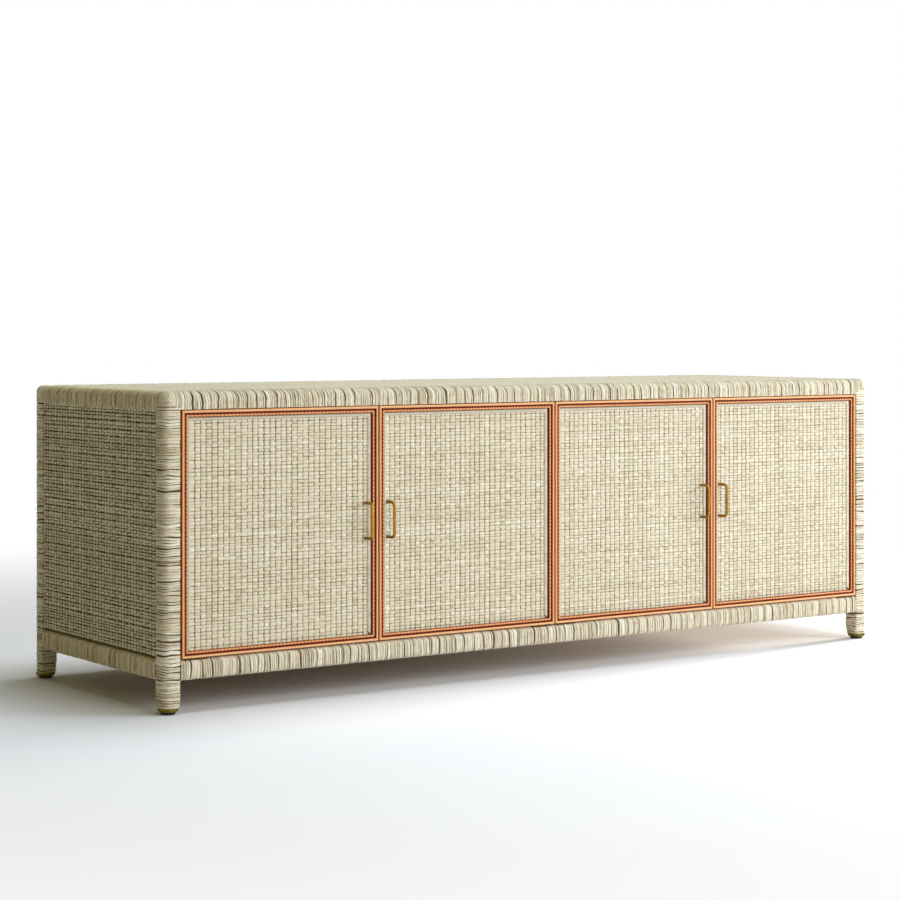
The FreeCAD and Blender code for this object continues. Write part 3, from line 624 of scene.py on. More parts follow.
def rounded_section(corners, radii, closed, longest, arc_steps=5):
    """Points and outward normals of a clockwise section with right-angled corners, rounded by their radii."""
    corners = [np.array(corner, float) for corner in corners]
    last = len(corners) - 1
    points = []
    normals = []

    def go_to(point, normal):
        parts = math.ceil(np.linalg.norm(point - points[-1]) / longest) if points else 1
        start = points[-1] if points else point
        for part in range(1, parts):
            points.append(start + (point - start) * part / parts)
            normals.append(normal)
        points.append(point)
        normals.append(normal)

    for index, corner in enumerate(corners):
        back = corners[index - 1] - corner
        ahead = corners[(index + 1) % len(corners)] - corner
        back_way = back / np.linalg.norm(back)
        ahead_way = ahead / np.linalg.norm(ahead)
        if not closed and index == 0:
            go_to(corner, left_of(ahead_way))
        elif not closed and index == last:
            go_to(corner, left_of(-back_way))
        else:
            centre = corner + (back_way + ahead_way) * radii[index]
            for step in range(arc_steps + 1):
                turn = step / arc_steps * math.pi / 2
                normal = left_of(-back_way) * math.cos(turn) + left_of(ahead_way) * math.sin(turn)
                go_to(centre + normal * radii[index], normal)
    return np.array(points), np.array(normals)


def slot_edges(rng, length, pitch, spread):
    """Uneven divisions of a length into the slots of single strands."""
    count = max(2, round(length / pitch))
    widths = np.clip(rng.normal(1.0, spread, count), *SLOT_LIMITS)
    return np.concatenate([[0.0], np.cumsum(widths)]) * (length / widths.sum())


def waviness(rng, amplitude):
    """A smooth random field over the place along a bar and the share of the way round it."""
    lengths = rng.uniform(*WAVE_LENGTHS, WAVE_COUNT)
    turns = rng.uniform(*WAVE_TURNS, WAVE_COUNT)
    phases = rng.uniform(0, FULL_TURN, WAVE_COUNT)

    def field(place, way):
        total = 0.0
        for length, turn, phase in zip(lengths, turns, phases):
            total = total + np.sin(FULL_TURN * (place / length + turn * way) + phase)
        return amplitude * total / math.sqrt(WAVE_COUNT)

    return field


def strand_covers(rng, way, opens, face):
    """Share of its slot that each strand fills on its way; those that open leave a gap, widest on the face."""
    count = len(opens)
    filled = rng.uniform(*FILLED, (count, 1))
    gap = np.where(opens[:, None], rng.uniform(*OPEN_GAP, (count, 1)), CLOSED_GAP)
    widest = rng.uniform(*face, (count, 1))
    taper = 0.5 + 0.5 * np.cos(FULL_TURN * (way - widest))
    return filled - gap * (LEAST_GAP + (1.0 - LEAST_GAP) * taper)


def rail_lean(flat, lean):
    """How far the strands of a rail lean along it at each point of its section."""
    level = np.clip(flat[:, 1] / flat[:, 1].max() * 2 - 1, 0.0, 1.0)
    return -lean * level ** 3


def own_stray(rng, count, way, amplitude):
    """Slow sideways wander of each strand by itself; it comes back to its start after a full turn."""
    cycles = rng.integers(1, 3, (count, 1))
    phases = rng.uniform(0, FULL_TURN, (count, 1))
    return amplitude * rng.uniform(0.2, 1.0, (count, 1)) * np.sin(FULL_TURN * cycles * way + phases)


def share_of_length(flat, closed):
    """Share of a section's length run at each of its points."""
    line = np.concatenate([flat, flat[:1]]) if closed else flat
    run = line_lengths(line)
    return run[:len(flat)] / run[-1]


def wrap(rng, bar, section, closed, sizes, rims, limit=None):
    """Strands side by side along a post or, if the section is open, a rail; limit is its largest radius."""
    flat, outward = section
    edges = slot_edges(rng, bar.length, sizes.width, sizes.spread)
    middles = (edges[1:] + edges[:-1]) / 2
    count = len(middles)
    way = share_of_length(flat, closed)
    end_room = np.minimum(middles, bar.length - middles)[:, None]
    field = waviness(rng, sizes.wave)
    stray = field(middles[:, None], np.sin(FULL_TURN * way)[None])
    stray = (stray + own_stray(rng, count, way, sizes.own_wave)) * np.clip(end_room / STRAY_ROOM, 0.0, 1.0)
    if closed:
        covers = strand_covers(rng, way[None], rng.random(count) < sizes.post_open, ANYWHERE)
    else:
        last_of_bundle = np.arange(count) % sizes.bundle == sizes.bundle - 1
        covers = strand_covers(rng, way[None], last_of_bundle, RAIL_FACE)
        stray = stray + rail_lean(flat, sizes.lean) * np.clip(end_room / LEAN_ROOM, 0.0, 1.0)
    slots = np.diff(edges)[:, None]
    place = middles[:, None] + stray - slots * (1.0 - covers) / 2
    sink = rng.uniform(0.0, sizes.sink, count)
    normals = outward[:, :1] * bar.out + outward[:, 1:] * bar.up
    shrink = np.ones((count, len(flat)))
    if limit:
        shrink = np.minimum(1.0, limit(middles)[:, None] / np.linalg.norm(flat, axis=1))
    ring = (flat[:, :1] * bar.out + flat[:, 1:] * bar.up)[None] * shrink[..., None]
    points = bar.origin + ring + place[..., None] * bar.along - sink[:, None, None] * normals[None]
    return Batch(points, np.broadcast_to(normals, points.shape), slots * covers, sizes.thickness,
                 rng.random(count), closed, np.zeros((count, len(flat))), rng.uniform(*rims, (count, 2)))


def rounded_block(places, edge_round):
    """Places on a block's faces moved onto its rounded edges, with their normals; 0 is the outer corner."""
    inside = np.maximum(places, edge_round)
    away = places - inside
    away = away / np.linalg.norm(away, axis=-1, keepdims=True)
    return inside + away * edge_round, away


def mitred_strands(rng, corner, ways, lengths, axis, sizes):
    """Strands over one of the three edges that meet at an outer corner; their ends follow the mitres."""
    first, second = (axis + 1) % 3, (axis + 2) % 3
    edges = slot_edges(rng, lengths[axis], sizes.width, sizes.spread)
    slots = np.diff(edges)
    travel = np.linspace(-1.0, 1.0, MITRE_STATIONS)
    count = len(slots)

    def line(start):
        reach = (start + slots / 2)[:, None] / lengths[axis]
        places = np.zeros((count, len(travel), 3))
        places[..., axis] = start[:, None]
        places[..., first] = np.maximum(-travel, 0.0) * reach * lengths[first]
        places[..., second] = np.maximum(travel, 0.0) * reach * lengths[second]
        return rounded_block(places, sizes.outer_round)

    points, normals = line((edges[1:] + edges[:-1]) / 2)
    widths = np.linalg.norm(line(edges[1:])[0] - line(edges[:-1])[0], axis=-1)
    widths = np.minimum(widths, slots[:, None])
    covers = strand_covers(rng, (travel / 2)[None], rng.random(count) < sizes.mitre_open, ANYWHERE)
    sink = rng.uniform(0.0, sizes.sink, (count, 1)) + sizes.tuck * travel[None] ** TUCK_FALL
    points = corner + (points - sink[..., None] * normals) @ ways
    return Batch(points, normals @ ways, widths * covers, sizes.thickness, rng.random(count), False,
                 np.zeros((count, len(travel))), rng.uniform(*FRONT_RIMS, (count, 2)))


def foot_taper(half, sizes):
    """Radius inside which a post stays at each height, so that it draws in to its ferrule."""

    def radius(place):
        rise = np.clip(place / sizes.foot_rise, 0.0, 1.0) ** 0.5
        return sizes.foot_radius + (half * math.sqrt(2) - sizes.foot_radius) * rise

    return radius


def post_core(origin, tall, half, corners, radii, taper, sizes):
    """Sections of a post's core, from its drawn-in foot to its rounded top."""
    core, outward = rounded_section(corners, radii, True, WHOLE_SIDE)
    core = np.pad(core - outward * sizes.core_inset, ((0, 0), (0, 1)))
    reach = np.linalg.norm(core, axis=1)
    sections = []
    for level in np.array(FOOT_LEVELS) * sizes.foot_rise:
        drawn_in = np.minimum(1.0, (taper(level) - sizes.core_inset) / reach)
        sections.append(origin + drawn_in[:, None] * core + level * Z_AXIS)
    cap = sizes.outer_round - sizes.core_inset
    for turn in np.radians(CAP_TURNS):
        narrower = 1.0 - cap * (1.0 - math.cos(turn)) / (half - sizes.core_inset)
        rise = tall - sizes.outer_round + cap * math.sin(turn)
        sections.append(origin + core * narrower + rise * Z_AXIS)
    return sections


def post_wrapping(name, sizes):
    """Strands and core of one post."""
    rng = random_for(name)
    low, high = box_of(name)
    side_x = -1.0 if low[0] < 0 else 1.0
    side_y = -1.0 if low[1] < 0 else 1.0
    middle = (low + high) / 2
    half = (high[0] - low[0]) / 2
    corners = [(-half, -half), (-half, half), (half, half), (half, -half)]
    inner = (-side_x * half, -side_y * half)
    outer = (side_x * half, side_y * half)
    marked = {inner: sizes.inner_round, outer: sizes.outer_round}
    radii = [marked.get(corner, sizes.side_round) for corner in corners]
    top = box_of("top_rail_front")[0][2]
    bar = Bar(np.array((middle[0], middle[1], low[2])), Z_AXIS, X_AXIS, Y_AXIS, top - low[2])
    taper = foot_taper(half, sizes)
    mesh = PieceMesh()
    section = rounded_section(corners, radii, True, POST_STEP)
    mesh.add_ribbons(wrap(rng, bar, section, True, sizes, POST_RIMS, taper), rng)
    corner = np.array((middle[0] + side_x * half, middle[1] + side_y * half, high[2]))
    ways = np.stack([-side_x * X_AXIS, -side_y * Y_AXIS, -Z_AXIS])
    lengths = (2 * half, 2 * half, high[2] - top)
    for axis in range(3):
        mesh.add_ribbons(mitred_strands(rng, corner, ways, lengths, axis, sizes), rng)
    mesh.add_core(post_core(bar.origin, high[2] - low[2], half, corners, radii, taper, sizes))
    mesh.build(name + "_wrapping", "root", [name], ("rattan wrapping", "shaded core"))


def rail_bar(name):
    """Place of a rail between its two posts, from the lower edge of its outer face."""
    low, high = box_of(name)
    lengthwise = 0 if name.endswith(("front", "back")) else 1
    other = 1 - lengthwise
    start = box_of("post_front_left")[1][lengthwise]
    end = -start if lengthwise == 0 else box_of("post_back_left")[0][1]
    outward = -1.0 if (low[other] + high[other]) < 0 else 1.0
    face = low[other] if outward < 0 else high[other]
    along = X_AXIS if lengthwise == 0 else Y_AXIS
    out = outward * (Y_AXIS if lengthwise == 0 else X_AXIS)
    origin = start * along + np.abs(out) * face + low[2] * Z_AXIS
    return Bar(origin, along, out, Z_AXIS, end - start)


def rail_core(bar, tall, depth, rounds, inset):
    """Sections of a rail's core at its two ends."""
    corners = [(inset - depth, tall - inset - CORE_SLOPE), (-inset, tall - inset), (-inset, inset),
               (inset - depth, inset)]
    core = rounded_section(corners, [0.0, *rounds], True, WHOLE_SIDE)[0]
    if np.dot(np.cross(bar.out, Z_AXIS), bar.along) < 0:
        core = core[::-1]
    ring = bar.origin + core[:, :1] * bar.out + core[:, 1:] * Z_AXIS
    return [ring, ring + bar.length * bar.along]


def rail_wrapping(name, sizes):
    """Strands and core of one rail: over its outer edges, under it, and up its inner face."""
    rng = random_for(name)
    low, high = box_of(name)
    post_low, post_high = box_of("post_front_left")
    on_top = name.startswith("top")
    on_side = name.endswith(("left", "right"))
    depth = post_high[0] - post_low[0]
    tall = high[2] - low[2]
    tucked = SIDE_LEDGE if on_side and not on_top else depth - LEDGE
    inner_top = box_of("top_board" if on_top else "deck")[0][2] - low[2]
    corners = [(-tucked, tall), (0, tall), (0, 0), (-depth, 0), (-depth, inner_top)]
    upper_round = sizes.outer_round if on_top else sizes.rail_round
    lower_round = sizes.inner_round if on_top else sizes.rail_round
    rounds = [upper_round, lower_round, sizes.inner_round]
    bar = rail_bar(name)
    mesh = PieceMesh()
    section = rounded_section(corners, [0, *rounds, 0], False, RAIL_STEP)
    mesh.add_ribbons(wrap(rng, bar, section, False, sizes, SIDE_RIMS if on_side else FRONT_RIMS), rng)
    mesh.add_core(rail_core(bar, tall, depth, rounds, sizes.core_inset))
    # Side rails take the copy of the finish painted for the sides' shade
    finish = "rattan side wrapping" if on_side else "rattan wrapping"
    mesh.build(name + "_wrapping", "root", [name], (finish, "shaded core"))


# Woven panels

BACKING = (1.98 * MM, 1.86 * MM)  # back and front of the dark sheet, a painted shade behind the weave, behind the middle of the panel
DOOR_INSET = 0.5 * MM            # edge of the weave inside its sheet
SIDE_INSET = -1.5 * MM           # less than nothing, because a side's weave goes on under posts and rails
TOP_INSET = 0.0
STAKE_SPREAD = 0.05              # how much the slots of stakes and rows differ in width
ROW_SPREAD = 0.13
STAKE_WIDTHS = (0.95, 1.04)      # range of the width that one strand has beside the others
WEAVER_WIDTHS = (0.93, 1.05)
STAKE_EVENNESS = 3               # the weave's unevenness over that of a stake's width
WEAVER_UNEVENNESS = 0.7          # that of a weaver's width as a share of the weave's
CROSSING_LIMITS = (0.4, 1.6)     # least and most that a crossing differs from the others, as a factor
WANDER_LENGTHS = (90 * MM, 260 * MM)
WOVEN_RIMS = (0.4, 1.0)          # painted shade on the rims of woven strands
SHADE_SPREAD = 0.3                # how much the painted shade differs from crossing to crossing

# Stations of a strand from one crossing to the next: share of the way, and share of the full wave
CROSSING_WAY = np.array((0.09, 0.35, 0.65, 0.91, 1.0))
CROSSING_LIFT = np.array((0.5, 0.97, 0.97, 0.5, 0.0))

# A panel that is woven: its lower left corner seen from outside, unit vectors to its right, up and out of it,
# its size, and how far strands may rise
WovenPanel = namedtuple("WovenPanel", "origin right up out width height room")

# How a panel is woven: distance between weavers, their width as a share of it, the stakes' width as a share of
# theirs, how far weavers pair up, gap at the panel's foot, painted shade beside the weavers' gaps, tones, and
# finish
WeaveLook = namedtuple("WeaveLook",
                       "row_pitch cover stake_cover pairing foot_gap gap_soil tone tone_spread finish")

# What sets stakes and weavers apart: whether they stand upright, thickness, width as a share of the pitch,
# range of that width, its unevenness, swell where a strand is on top, pairing, painted shade beside a gap, and
# whether the first one starts over (1) or under (-1)
StrandKind = namedtuple("StrandKind", "upright thickness cover widths uneven swell pairing soil first")


def wave_line(edges, gap_soil):
    """Stations along a strand that crosses others: place, which crossing, share of the full wave, and painted
    shade, fullest where the strand dips under the crossing one.
    """
    count = len(edges) - 1
    places = (edges[:-1, None] + np.diff(edges)[:, None] * CROSSING_WAY).ravel()
    crossing = np.repeat(np.arange(count), len(CROSSING_WAY))
    lift = np.tile(CROSSING_LIFT, count)
    # Painted shade at the stations beside and at the dip under the crossing strand
    soil = np.tile(np.array((gap_soil, 0.0, 0.0, gap_soil, 1.0)), count)
    return places, crossing, lift, soil


def per_crossing(rng, strands, crossing, spread):
    """A factor about 1 for each crossing of each strand, given at its stations."""
    return rng.normal(1.0, spread, (strands, crossing[-1] + 1)).clip(*CROSSING_LIMITS)[:, crossing]


def wander(rng, strands, places, amplitude):
    """Slow sideways wander of strands along their length."""
    lengths = rng.uniform(*WANDER_LENGTHS, (strands, 1))
    phases = rng.uniform(0, FULL_TURN, (strands, 1))
    return amplitude * np.sin(FULL_TURN * places / lengths + phases)


def strand_tones(rng, count, look):
    """Tones about the middle one."""
    return look.tone + look.tone_spread * (rng.random(count) - 0.5)


def panel_points(panel, across, up, height):
    """Places in the cabinet from places on a panel."""
    lifted = np.minimum(height, panel.room)[..., None] * panel.out
    return panel.origin + across[..., None] * panel.right + up[..., None] * panel.up + lifted


def woven_strands(rng, panel, lines, crossed, kind, sizes, look):
    """Flat strands of one kind between the given lines, which pass over and under those that they cross."""
    count = len(lines) - 1
    along, crossing, lift, soil = wave_line(crossed, kind.soil)
    slots = np.diff(lines)[:, None]
    over = np.where((np.arange(count)[:, None] + crossing) % 2 == 0, kind.first, -kind.first)
    height = sizes.wave * over * lift * per_crossing(rng, count, crossing, sizes.uneven) + kind.thickness / 2
    widths = slots * kind.cover * rng.uniform(*kind.widths, (count, 1)) * (1.0 + kind.swell * over * lift)
    widths = widths * per_crossing(rng, count, crossing, kind.uneven)
    toward = np.where(np.arange(count) % 2 == 0, 1.0, -1.0)[:, None] * kind.pairing * slots
    place = (lines[1:] + lines[:-1])[:, None] / 2 + toward + wander(rng, count, along[None], sizes.stray)
    reach = panel.width if kind.upright else panel.height
    place = np.clip(place, widths / 2, reach - widths / 2)
    along = np.broadcast_to(along, place.shape)
    across, up = (place, along) if kind.upright else (along, place)
    points = panel_points(panel, across, up, height)
    return Batch(points, np.broadcast_to(panel.out, points.shape), widths, kind.thickness,
                 strand_tones(rng, count, look), False, soil * per_crossing(rng, count, crossing, SHADE_SPREAD),
                 rng.uniform(*WOVEN_RIMS, (count, 2)))


def split_batch(batch, most):
    """A batch as several of fewer strands."""
    parts = max(1, math.ceil(batch.points.shape[0] * batch.points.shape[1] / most))
    for group in np.array_split(np.arange(len(batch.tones)), parts):
        yield batch._replace(points=batch.points[group], normals=batch.normals[group],
                             widths=batch.widths[group], tones=batch.tones[group], soil=batch.soil[group],
                             rims=batch.rims[group])


def panel_of(node, out_axis, out_sign, inset):
    """The woven sheet of a CAD node as a panel."""
    low, high = box_of(node)
    out = np.zeros(3)
    out[out_axis] = out_sign
    up = Y_AXIS if out_axis == 2 else Z_AXIS
    right = np.cross(up, out)
    middle = (low + high) / 2
    width = abs((high - low) @ right) - 2 * inset
    height = abs((high - low) @ up) - 2 * inset
    room = abs((high - low) @ out) / 2
    origin = middle - right * width / 2 - up * height / 2
    return WovenPanel(origin, right, up, out, width, height, room)


def weave_panel(name, body, node, out_axis, out_sign, inset, look):
    """Stakes, weavers and dark backing sheet of one woven panel; the sheet is painted shade for the gaps."""
    sizes = bpy.context.scene.credenza_weave
    rng = random_for(name)
    panel = panel_of(node, out_axis, out_sign, inset)
    stakes = slot_edges(rng, panel.width, sizes.stake_pitch, STAKE_SPREAD)
    rows = look.foot_gap + slot_edges(rng, panel.height - look.foot_gap, look.row_pitch, ROW_SPREAD)
    stake = StrandKind(upright=True, thickness=sizes.stake_thickness, cover=look.stake_cover,
                       widths=STAKE_WIDTHS, uneven=sizes.uneven / STAKE_EVENNESS, swell=0.0, pairing=0.0,
                       soil=look.gap_soil, first=1.0)
    weaver = StrandKind(upright=False, thickness=sizes.weaver_thickness, cover=look.cover,
                        widths=WEAVER_WIDTHS, uneven=sizes.uneven * WEAVER_UNEVENNESS, swell=sizes.swell,
                        pairing=look.pairing, soil=sizes.gap_soil, first=-1.0)
    for kind, batch in (("stakes", woven_strands(rng, panel, stakes, rows, stake, sizes, look)),
                        ("weavers", woven_strands(rng, panel, rows, stakes, weaver, sizes, look))):
        for number, part in enumerate(split_batch(batch, sizes.largest_piece), 1):
            mesh = PieceMesh()
            mesh.add_ribbons(part, rng)
            if kind == "stakes" and number == 1:
                sheet = np.array(((0, 0), (0, panel.height), (panel.width, panel.height), (panel.width, 0)))
                back = panel.origin + sheet[:, :1] * panel.right + sheet[:, 1:] * panel.up
                mesh.add_core([back - panel.out * depth for depth in BACKING])
            mesh.build(f"{name}_{kind}_{number}", body, [node], (look.finish, "shaded core"))


def front_look(sizes):
    """Weave of the doors and the top."""
    return WeaveLook(row_pitch=sizes.row_pitch, cover=sizes.weaver_cover, stake_cover=sizes.stake_cover,
                     pairing=sizes.pairing, foot_gap=0.0, gap_soil=sizes.gap_soil, tone=sizes.tone,
                     tone_spread=sizes.tone_spread, finish="rattan weave")


def side_look(sizes):
    """Coarser weave of the sides, with a finish copied and painted for their shade: darker gaps, paler strands
    and a warm tint.
    """
    return WeaveLook(row_pitch=sizes.side_row_pitch, cover=sizes.side_cover, stake_cover=sizes.side_stake_cover,
                     pairing=sizes.side_pairing, foot_gap=sizes.side_foot_gap, gap_soil=sizes.side_gap_soil,
                     tone=sizes.side_tone, tone_spread=sizes.side_tone_spread, finish="rattan side weave")


# Doors' trim and pulls, and the feet

TRIM_STATIONS = (80, 80)         # along the upright and the level sides of a door
BAND_ARC = 9                     # points over the half rounds of band, bead and border strand
BEAD_ARC = 7
BORDER_ARC = 6
OUTER_STAIN = 0.55               # stain at the band's foot, beside the door's edge and beside the groove
INNER_STAIN = 0.75
GROOVE_STAINS = [0.95, 0.9, 0.55, 0.6, 0.6, 0.6]  # from the groove's floor over the lip to the back
NOTCH_STATIONS = 6               # from one notch of the bead to the next
NOTCH_FALL = 8                   # power by which a notch fades on both sides
BEAD_STAIN = 0.5                 # stain at the bead's foot
BEAD_RUBBED = 0.42               # stain that is rubbed off its crest
NOTCH_STAIN = 0.34               # stain that is added in a notch
BORDER_STATIONS = 70
BORDER_SUNK = 0.4 * MM           # foot of the border strand below the front of the woven sheet
BORDER_TONE = 0.9
BORDER_SHADE = 0.5                # painted shade on its left and upper sides, which the trim shades
ROD_SHARE = 0.56                 # radius of a pull's rod as a share of the solid rod's width
ROD_SIDES = 20
ROD_STEP = 12 * MM               # longest straight step along the rod
PULL_BEND = 9 * MM
BEND_STEPS = 10
PULL_SUNK = 2.2 * MM             # length of a pull's legs inside the woven sheet
FOOT_FLAT = 18.1 * MM            # from the middle of a foot to its four flats
FOOT_STATIONS = 48
FOOT_BORE = 4 * MM               # inner radius of ferrules and glides, which nobody sees


def frame_line(rect, inward, station_count):
    """Stations round a door at a distance inside its edge."""
    x0, x1, z0, z1 = rect
    corners = np.array(((x0, z0), (x0, z1), (x1, z1), (x1, z0)))
    ways = np.array(((1, 1), (1, -1), (-1, -1), (-1, 1)))
    inner = corners + ways * inward
    line = []
    for side in range(4):
        steps = np.linspace(0.0, 1.0, station_count[side % 2], endpoint=False)[:, None]
        line.append(inner[side] + (inner[(side + 1) % 4] - inner[side]) * steps)
    return np.concatenate(line)


def sweep_round(rect, front, section, station_count):
    """Points of a section swept round a door, mitred at the corners: section gives depth and inward places."""
    columns = []
    for depth, inward in section:
        flat = frame_line(rect, inward, station_count)
        columns.append(np.stack([flat[:, 0], np.full(len(flat), front + depth), flat[:, 1]], -1))
    return np.stack(columns, 1)


def trim_pieces(door, sizes):
    """Half-round band, groove, lip and bead of one door, and the pale strand inside them."""
    node = door + "_trim"
    low, high = box_of(node)
    rect = (low[0], high[0], low[2], high[2] + sizes.top_reach)
    front = low[1]
    back = high[1] - low[1]
    half = sizes.band / 2
    weave_front = box_of(door + "_weave")[0][1] - front
    turns = np.linspace(0.0, math.pi, BAND_ARC)
    section = [(half - half * math.sin(turn), half - half * math.cos(turn)) for turn in turns]
    stains = [(OUTER_STAIN if turn < math.pi / 2 else INNER_STAIN) * (1.0 - math.sin(turn) ** 0.7)
              for turn in turns]
    section += [(sizes.groove, sizes.band), (sizes.groove, sizes.lip), (weave_front, sizes.lip),
                (weave_front, sizes.band), (back, sizes.band), (back, 0.0)]
    stains += GROOVE_STAINS
    rng = random_for(node)
    points = sweep_round(rect, front, section, TRIM_STATIONS)[:, ::-1]
    band = PieceMesh()
    band.add_loops(points[None], True, rng.random(1), line_lengths(points[:, 0])[None], stains[::-1])
    band.build(door + "_band", door, [node], ("stained cane",), crease=35.0)
    lashed_bead(door, rect, front, sizes, rng)
    border_strand(door, rect, front + weave_front, sizes)


def lashed_bead(door, rect, front, sizes, rng):
    """Round bead on the lip of the trim, notched at an even pitch and rubbed pale between the notches."""
    height = sizes.groove - sizes.bead_front
    middle = sizes.bead_start + sizes.bead_width / 2
    turns = np.linspace(0.0, math.pi, BEAD_ARC)
    section = [(sizes.groove - height * math.sin(turn), middle - sizes.bead_width / 2 * math.cos(turn))
               for turn in turns]
    lengths = (rect[3] - rect[2], rect[1] - rect[0])
    count = [NOTCH_STATIONS * round(length / sizes.bead_pitch) for length in lengths]
    base = sweep_round(rect, front, [(sizes.groove, middle)], count)
    full = sweep_round(rect, front, section, count)
    station = np.arange(len(full))
    notch = np.cos(math.pi * station / NOTCH_STATIONS) ** NOTCH_FALL
    scale = 1.0 - sizes.bead_notch * notch[:, None, None]
    points = (base + (full - base) * scale)[:, ::-1]
    stain = BEAD_STAIN - BEAD_RUBBED * np.sin(turns)[None] + NOTCH_STAIN * notch[:, None]
    mesh = PieceMesh()
    mesh.add_loops(points[None], True, rng.random(1), line_lengths(base[:, 0])[None], stain[:, ::-1])
    mesh.build(door + "_bead", door, [door + "_trim"], ("stained cane",))


def border_strand(door, rect, level, sizes):
    """Pale strand that lies on the woven panel along the sides and top of the trim."""
    turns = np.linspace(0.0, math.pi, BORDER_ARC)
    section = [(BORDER_SUNK - sizes.border_height * math.sin(turn),
                sizes.lip + sizes.border_width / 2 * (1 - math.cos(turn))) for turn in turns]
    steps = BORDER_STATIONS
    points = sweep_round(rect, level, section, (steps, steps))[:3 * steps + 1, ::-1]
    # Painted shade on the left and upper sides of the border strand
    soil = np.where(np.arange(len(points)) < 2 * steps, BORDER_SHADE, 0.0)[None, :, None]
    mesh = PieceMesh()
    mesh.add_loops(points[None], False, [BORDER_TONE], line_lengths(points[:, 0])[None], np.cos(turns), soil)
    mesh.build(door + "_border", door, [door + "_weave"], ("rattan weave",))


def pull_piece(door):
    """Bent round rod: two legs on the woven sheet and a straight grip between them."""
    node = door + "_pull"
    low, high = box_of(node)
    radius = (high[0] - low[0]) * ROD_SHARE
    x = (low[0] + high[0]) / 2
    foot = high[1] + PULL_SUNK
    grip = low[1] + radius
    legs = (low[2] + radius, high[2] - radius)
    # Clockwise seen with Y to the right, so that the rod's outer side is on the left of its line
    corners = [(foot, legs[0]), (grip, legs[0]), (grip, legs[1]), (foot, legs[1])]
    flat, outward = rounded_section(corners, [0, PULL_BEND, PULL_BEND, 0], False, ROD_STEP, BEND_STEPS)
    turns = np.linspace(0.0, FULL_TURN, ROD_SIDES, endpoint=False)
    centre = np.stack([np.full(len(flat), x), flat[:, 0], flat[:, 1]], -1)
    normal = np.stack([np.zeros(len(flat)), outward[:, 0], outward[:, 1]], -1)
    ring = np.cos(turns)[:, None] * normal[:, None] + np.sin(turns)[:, None] * X_AXIS
    points = centre[:, None] + radius * ring
    mesh = PieceMesh()
    mesh.add_loops(points[None], False, [0.5], line_lengths(centre)[None], np.cos(turns))
    mesh.build(door + "_pull_rod", door, [node], ("satin brass",))


def ferrule_profile(foot, top):
    """Radius and height over a ferrule: flat top, rolled rim, and sides that draw in to the glide."""
    return [(FOOT_BORE, top), (19.2 * MM, top), (19.8 * MM, top - 0.8 * MM), (19.6 * MM, top - 3.6 * MM),
            (18.6 * MM, top - 5.6 * MM), (16.0 * MM, foot + 0.5 * MM), (15.2 * MM, foot), (FOOT_BORE, foot)]


def glide_profile(top):
    """Radius and height over a glide: a disc with its edges eased, on the floor."""
    return [(FOOT_BORE, top), (13.0 * MM, top), (13.5 * MM, top - 0.6 * MM), (13.5 * MM, 1.2 * MM),
            (12.6 * MM, 0.2 * MM), (11.8 * MM, 0.0), (FOOT_BORE, 0.0)]


def turned_feet(name, node, finish, profile):
    """The same ring under each post, round with four flats like the post: profile gives radius and height."""
    mesh = PieceMesh()
    turns = np.linspace(0.0, FULL_TURN, FOOT_STATIONS, endpoint=False)
    around = np.stack([np.cos(turns), np.sin(turns), np.zeros(FOOT_STATIONS)], -1)
    profile = np.array(profile)
    flats = FOOT_FLAT / np.abs(around).max(1)
    reach = np.minimum(profile[None, :, 0], flats[:, None])
    for post in POSTS:
        low, high = box_of(post)
        centre = (low + high) / 2 * np.array((1.0, 1.0, 0.0))
        points = centre + around[:, None] * reach[..., None] + profile[None, :, 1:] * Z_AXIS
        mesh.add_loops(points[None], True, [0.5], (turns * FOOT_FLAT)[None], np.zeros(len(profile)))
    mesh.build(name, "root", [node], (finish,), crease=40.0)


# Stage

# Places of the lights in metres, and the widths of their squares
Stand = namedtuple("Stand", "place width")
KEY_STAND = Stand((3.1, -3.2, 1.5), 1.8)
FRONT_STAND = Stand((0.2, -4.6, 2.6), 3.2)
OVERHEAD_STAND = Stand((0.3, -0.2, 3.6), 2.4)
LOW_STAND = Stand((4.6, 0.1, 0.45), 0.6)
LIT_POINT = np.array((0.0, 0.0, 0.3))  # which the lights face
FLOOR_REACH = 30.0
WHITE_FROM = 1.0                 # distances from the middle between which the floor turns white
WHITE_AT = 3.0


def add_camera(stage):
    """Level camera at the photograph's viewing angle."""
    camera = bpy.data.cameras.new("camera")
    camera.sensor_width = 36.0
    camera.lens = stage.lens
    camera.shift_y = stage.rise
    camera.clip_end = 100.0
    view = bpy.data.objects.new("camera", camera)
    view.location = stage.place
    view.rotation_euler = (math.pi / 2, 0.0, stage.turn)
    bpy.context.scene.collection.objects.link(view)
    bpy.context.scene.camera = view


def add_light(name, watts, tint, stand):
    """Square soft light that faces the cabinet and isn't seen itself."""
    lamp = bpy.data.lights.new(name, "AREA")
    lamp.energy = watts
    lamp.color = tint
    lamp.size = stand.width
    light = bpy.data.objects.new(name, lamp)
    light.location = stand.place
    light.visible_camera = False
    way = LIT_POINT - np.array(stand.place)
    across = math.hypot(way[0], way[1])
    light.rotation_euler = (math.atan2(across, -way[2]), 0.0, math.atan2(-way[0], way[1]))
    bpy.context.scene.collection.objects.link(light)
    return light


def seen_directly(nodes):
    """1 for rays from the camera, in reflections and through glass, and 0 for light that falls on things."""
    path = [nodes.add("ShaderNodeLightPath", output=kind)
            for kind in ("Is Camera Ray", "Is Glossy Ray", "Is Transmission Ray")]
    return (path[0] + path[1] + path[2]).between(0.0, 1.0)


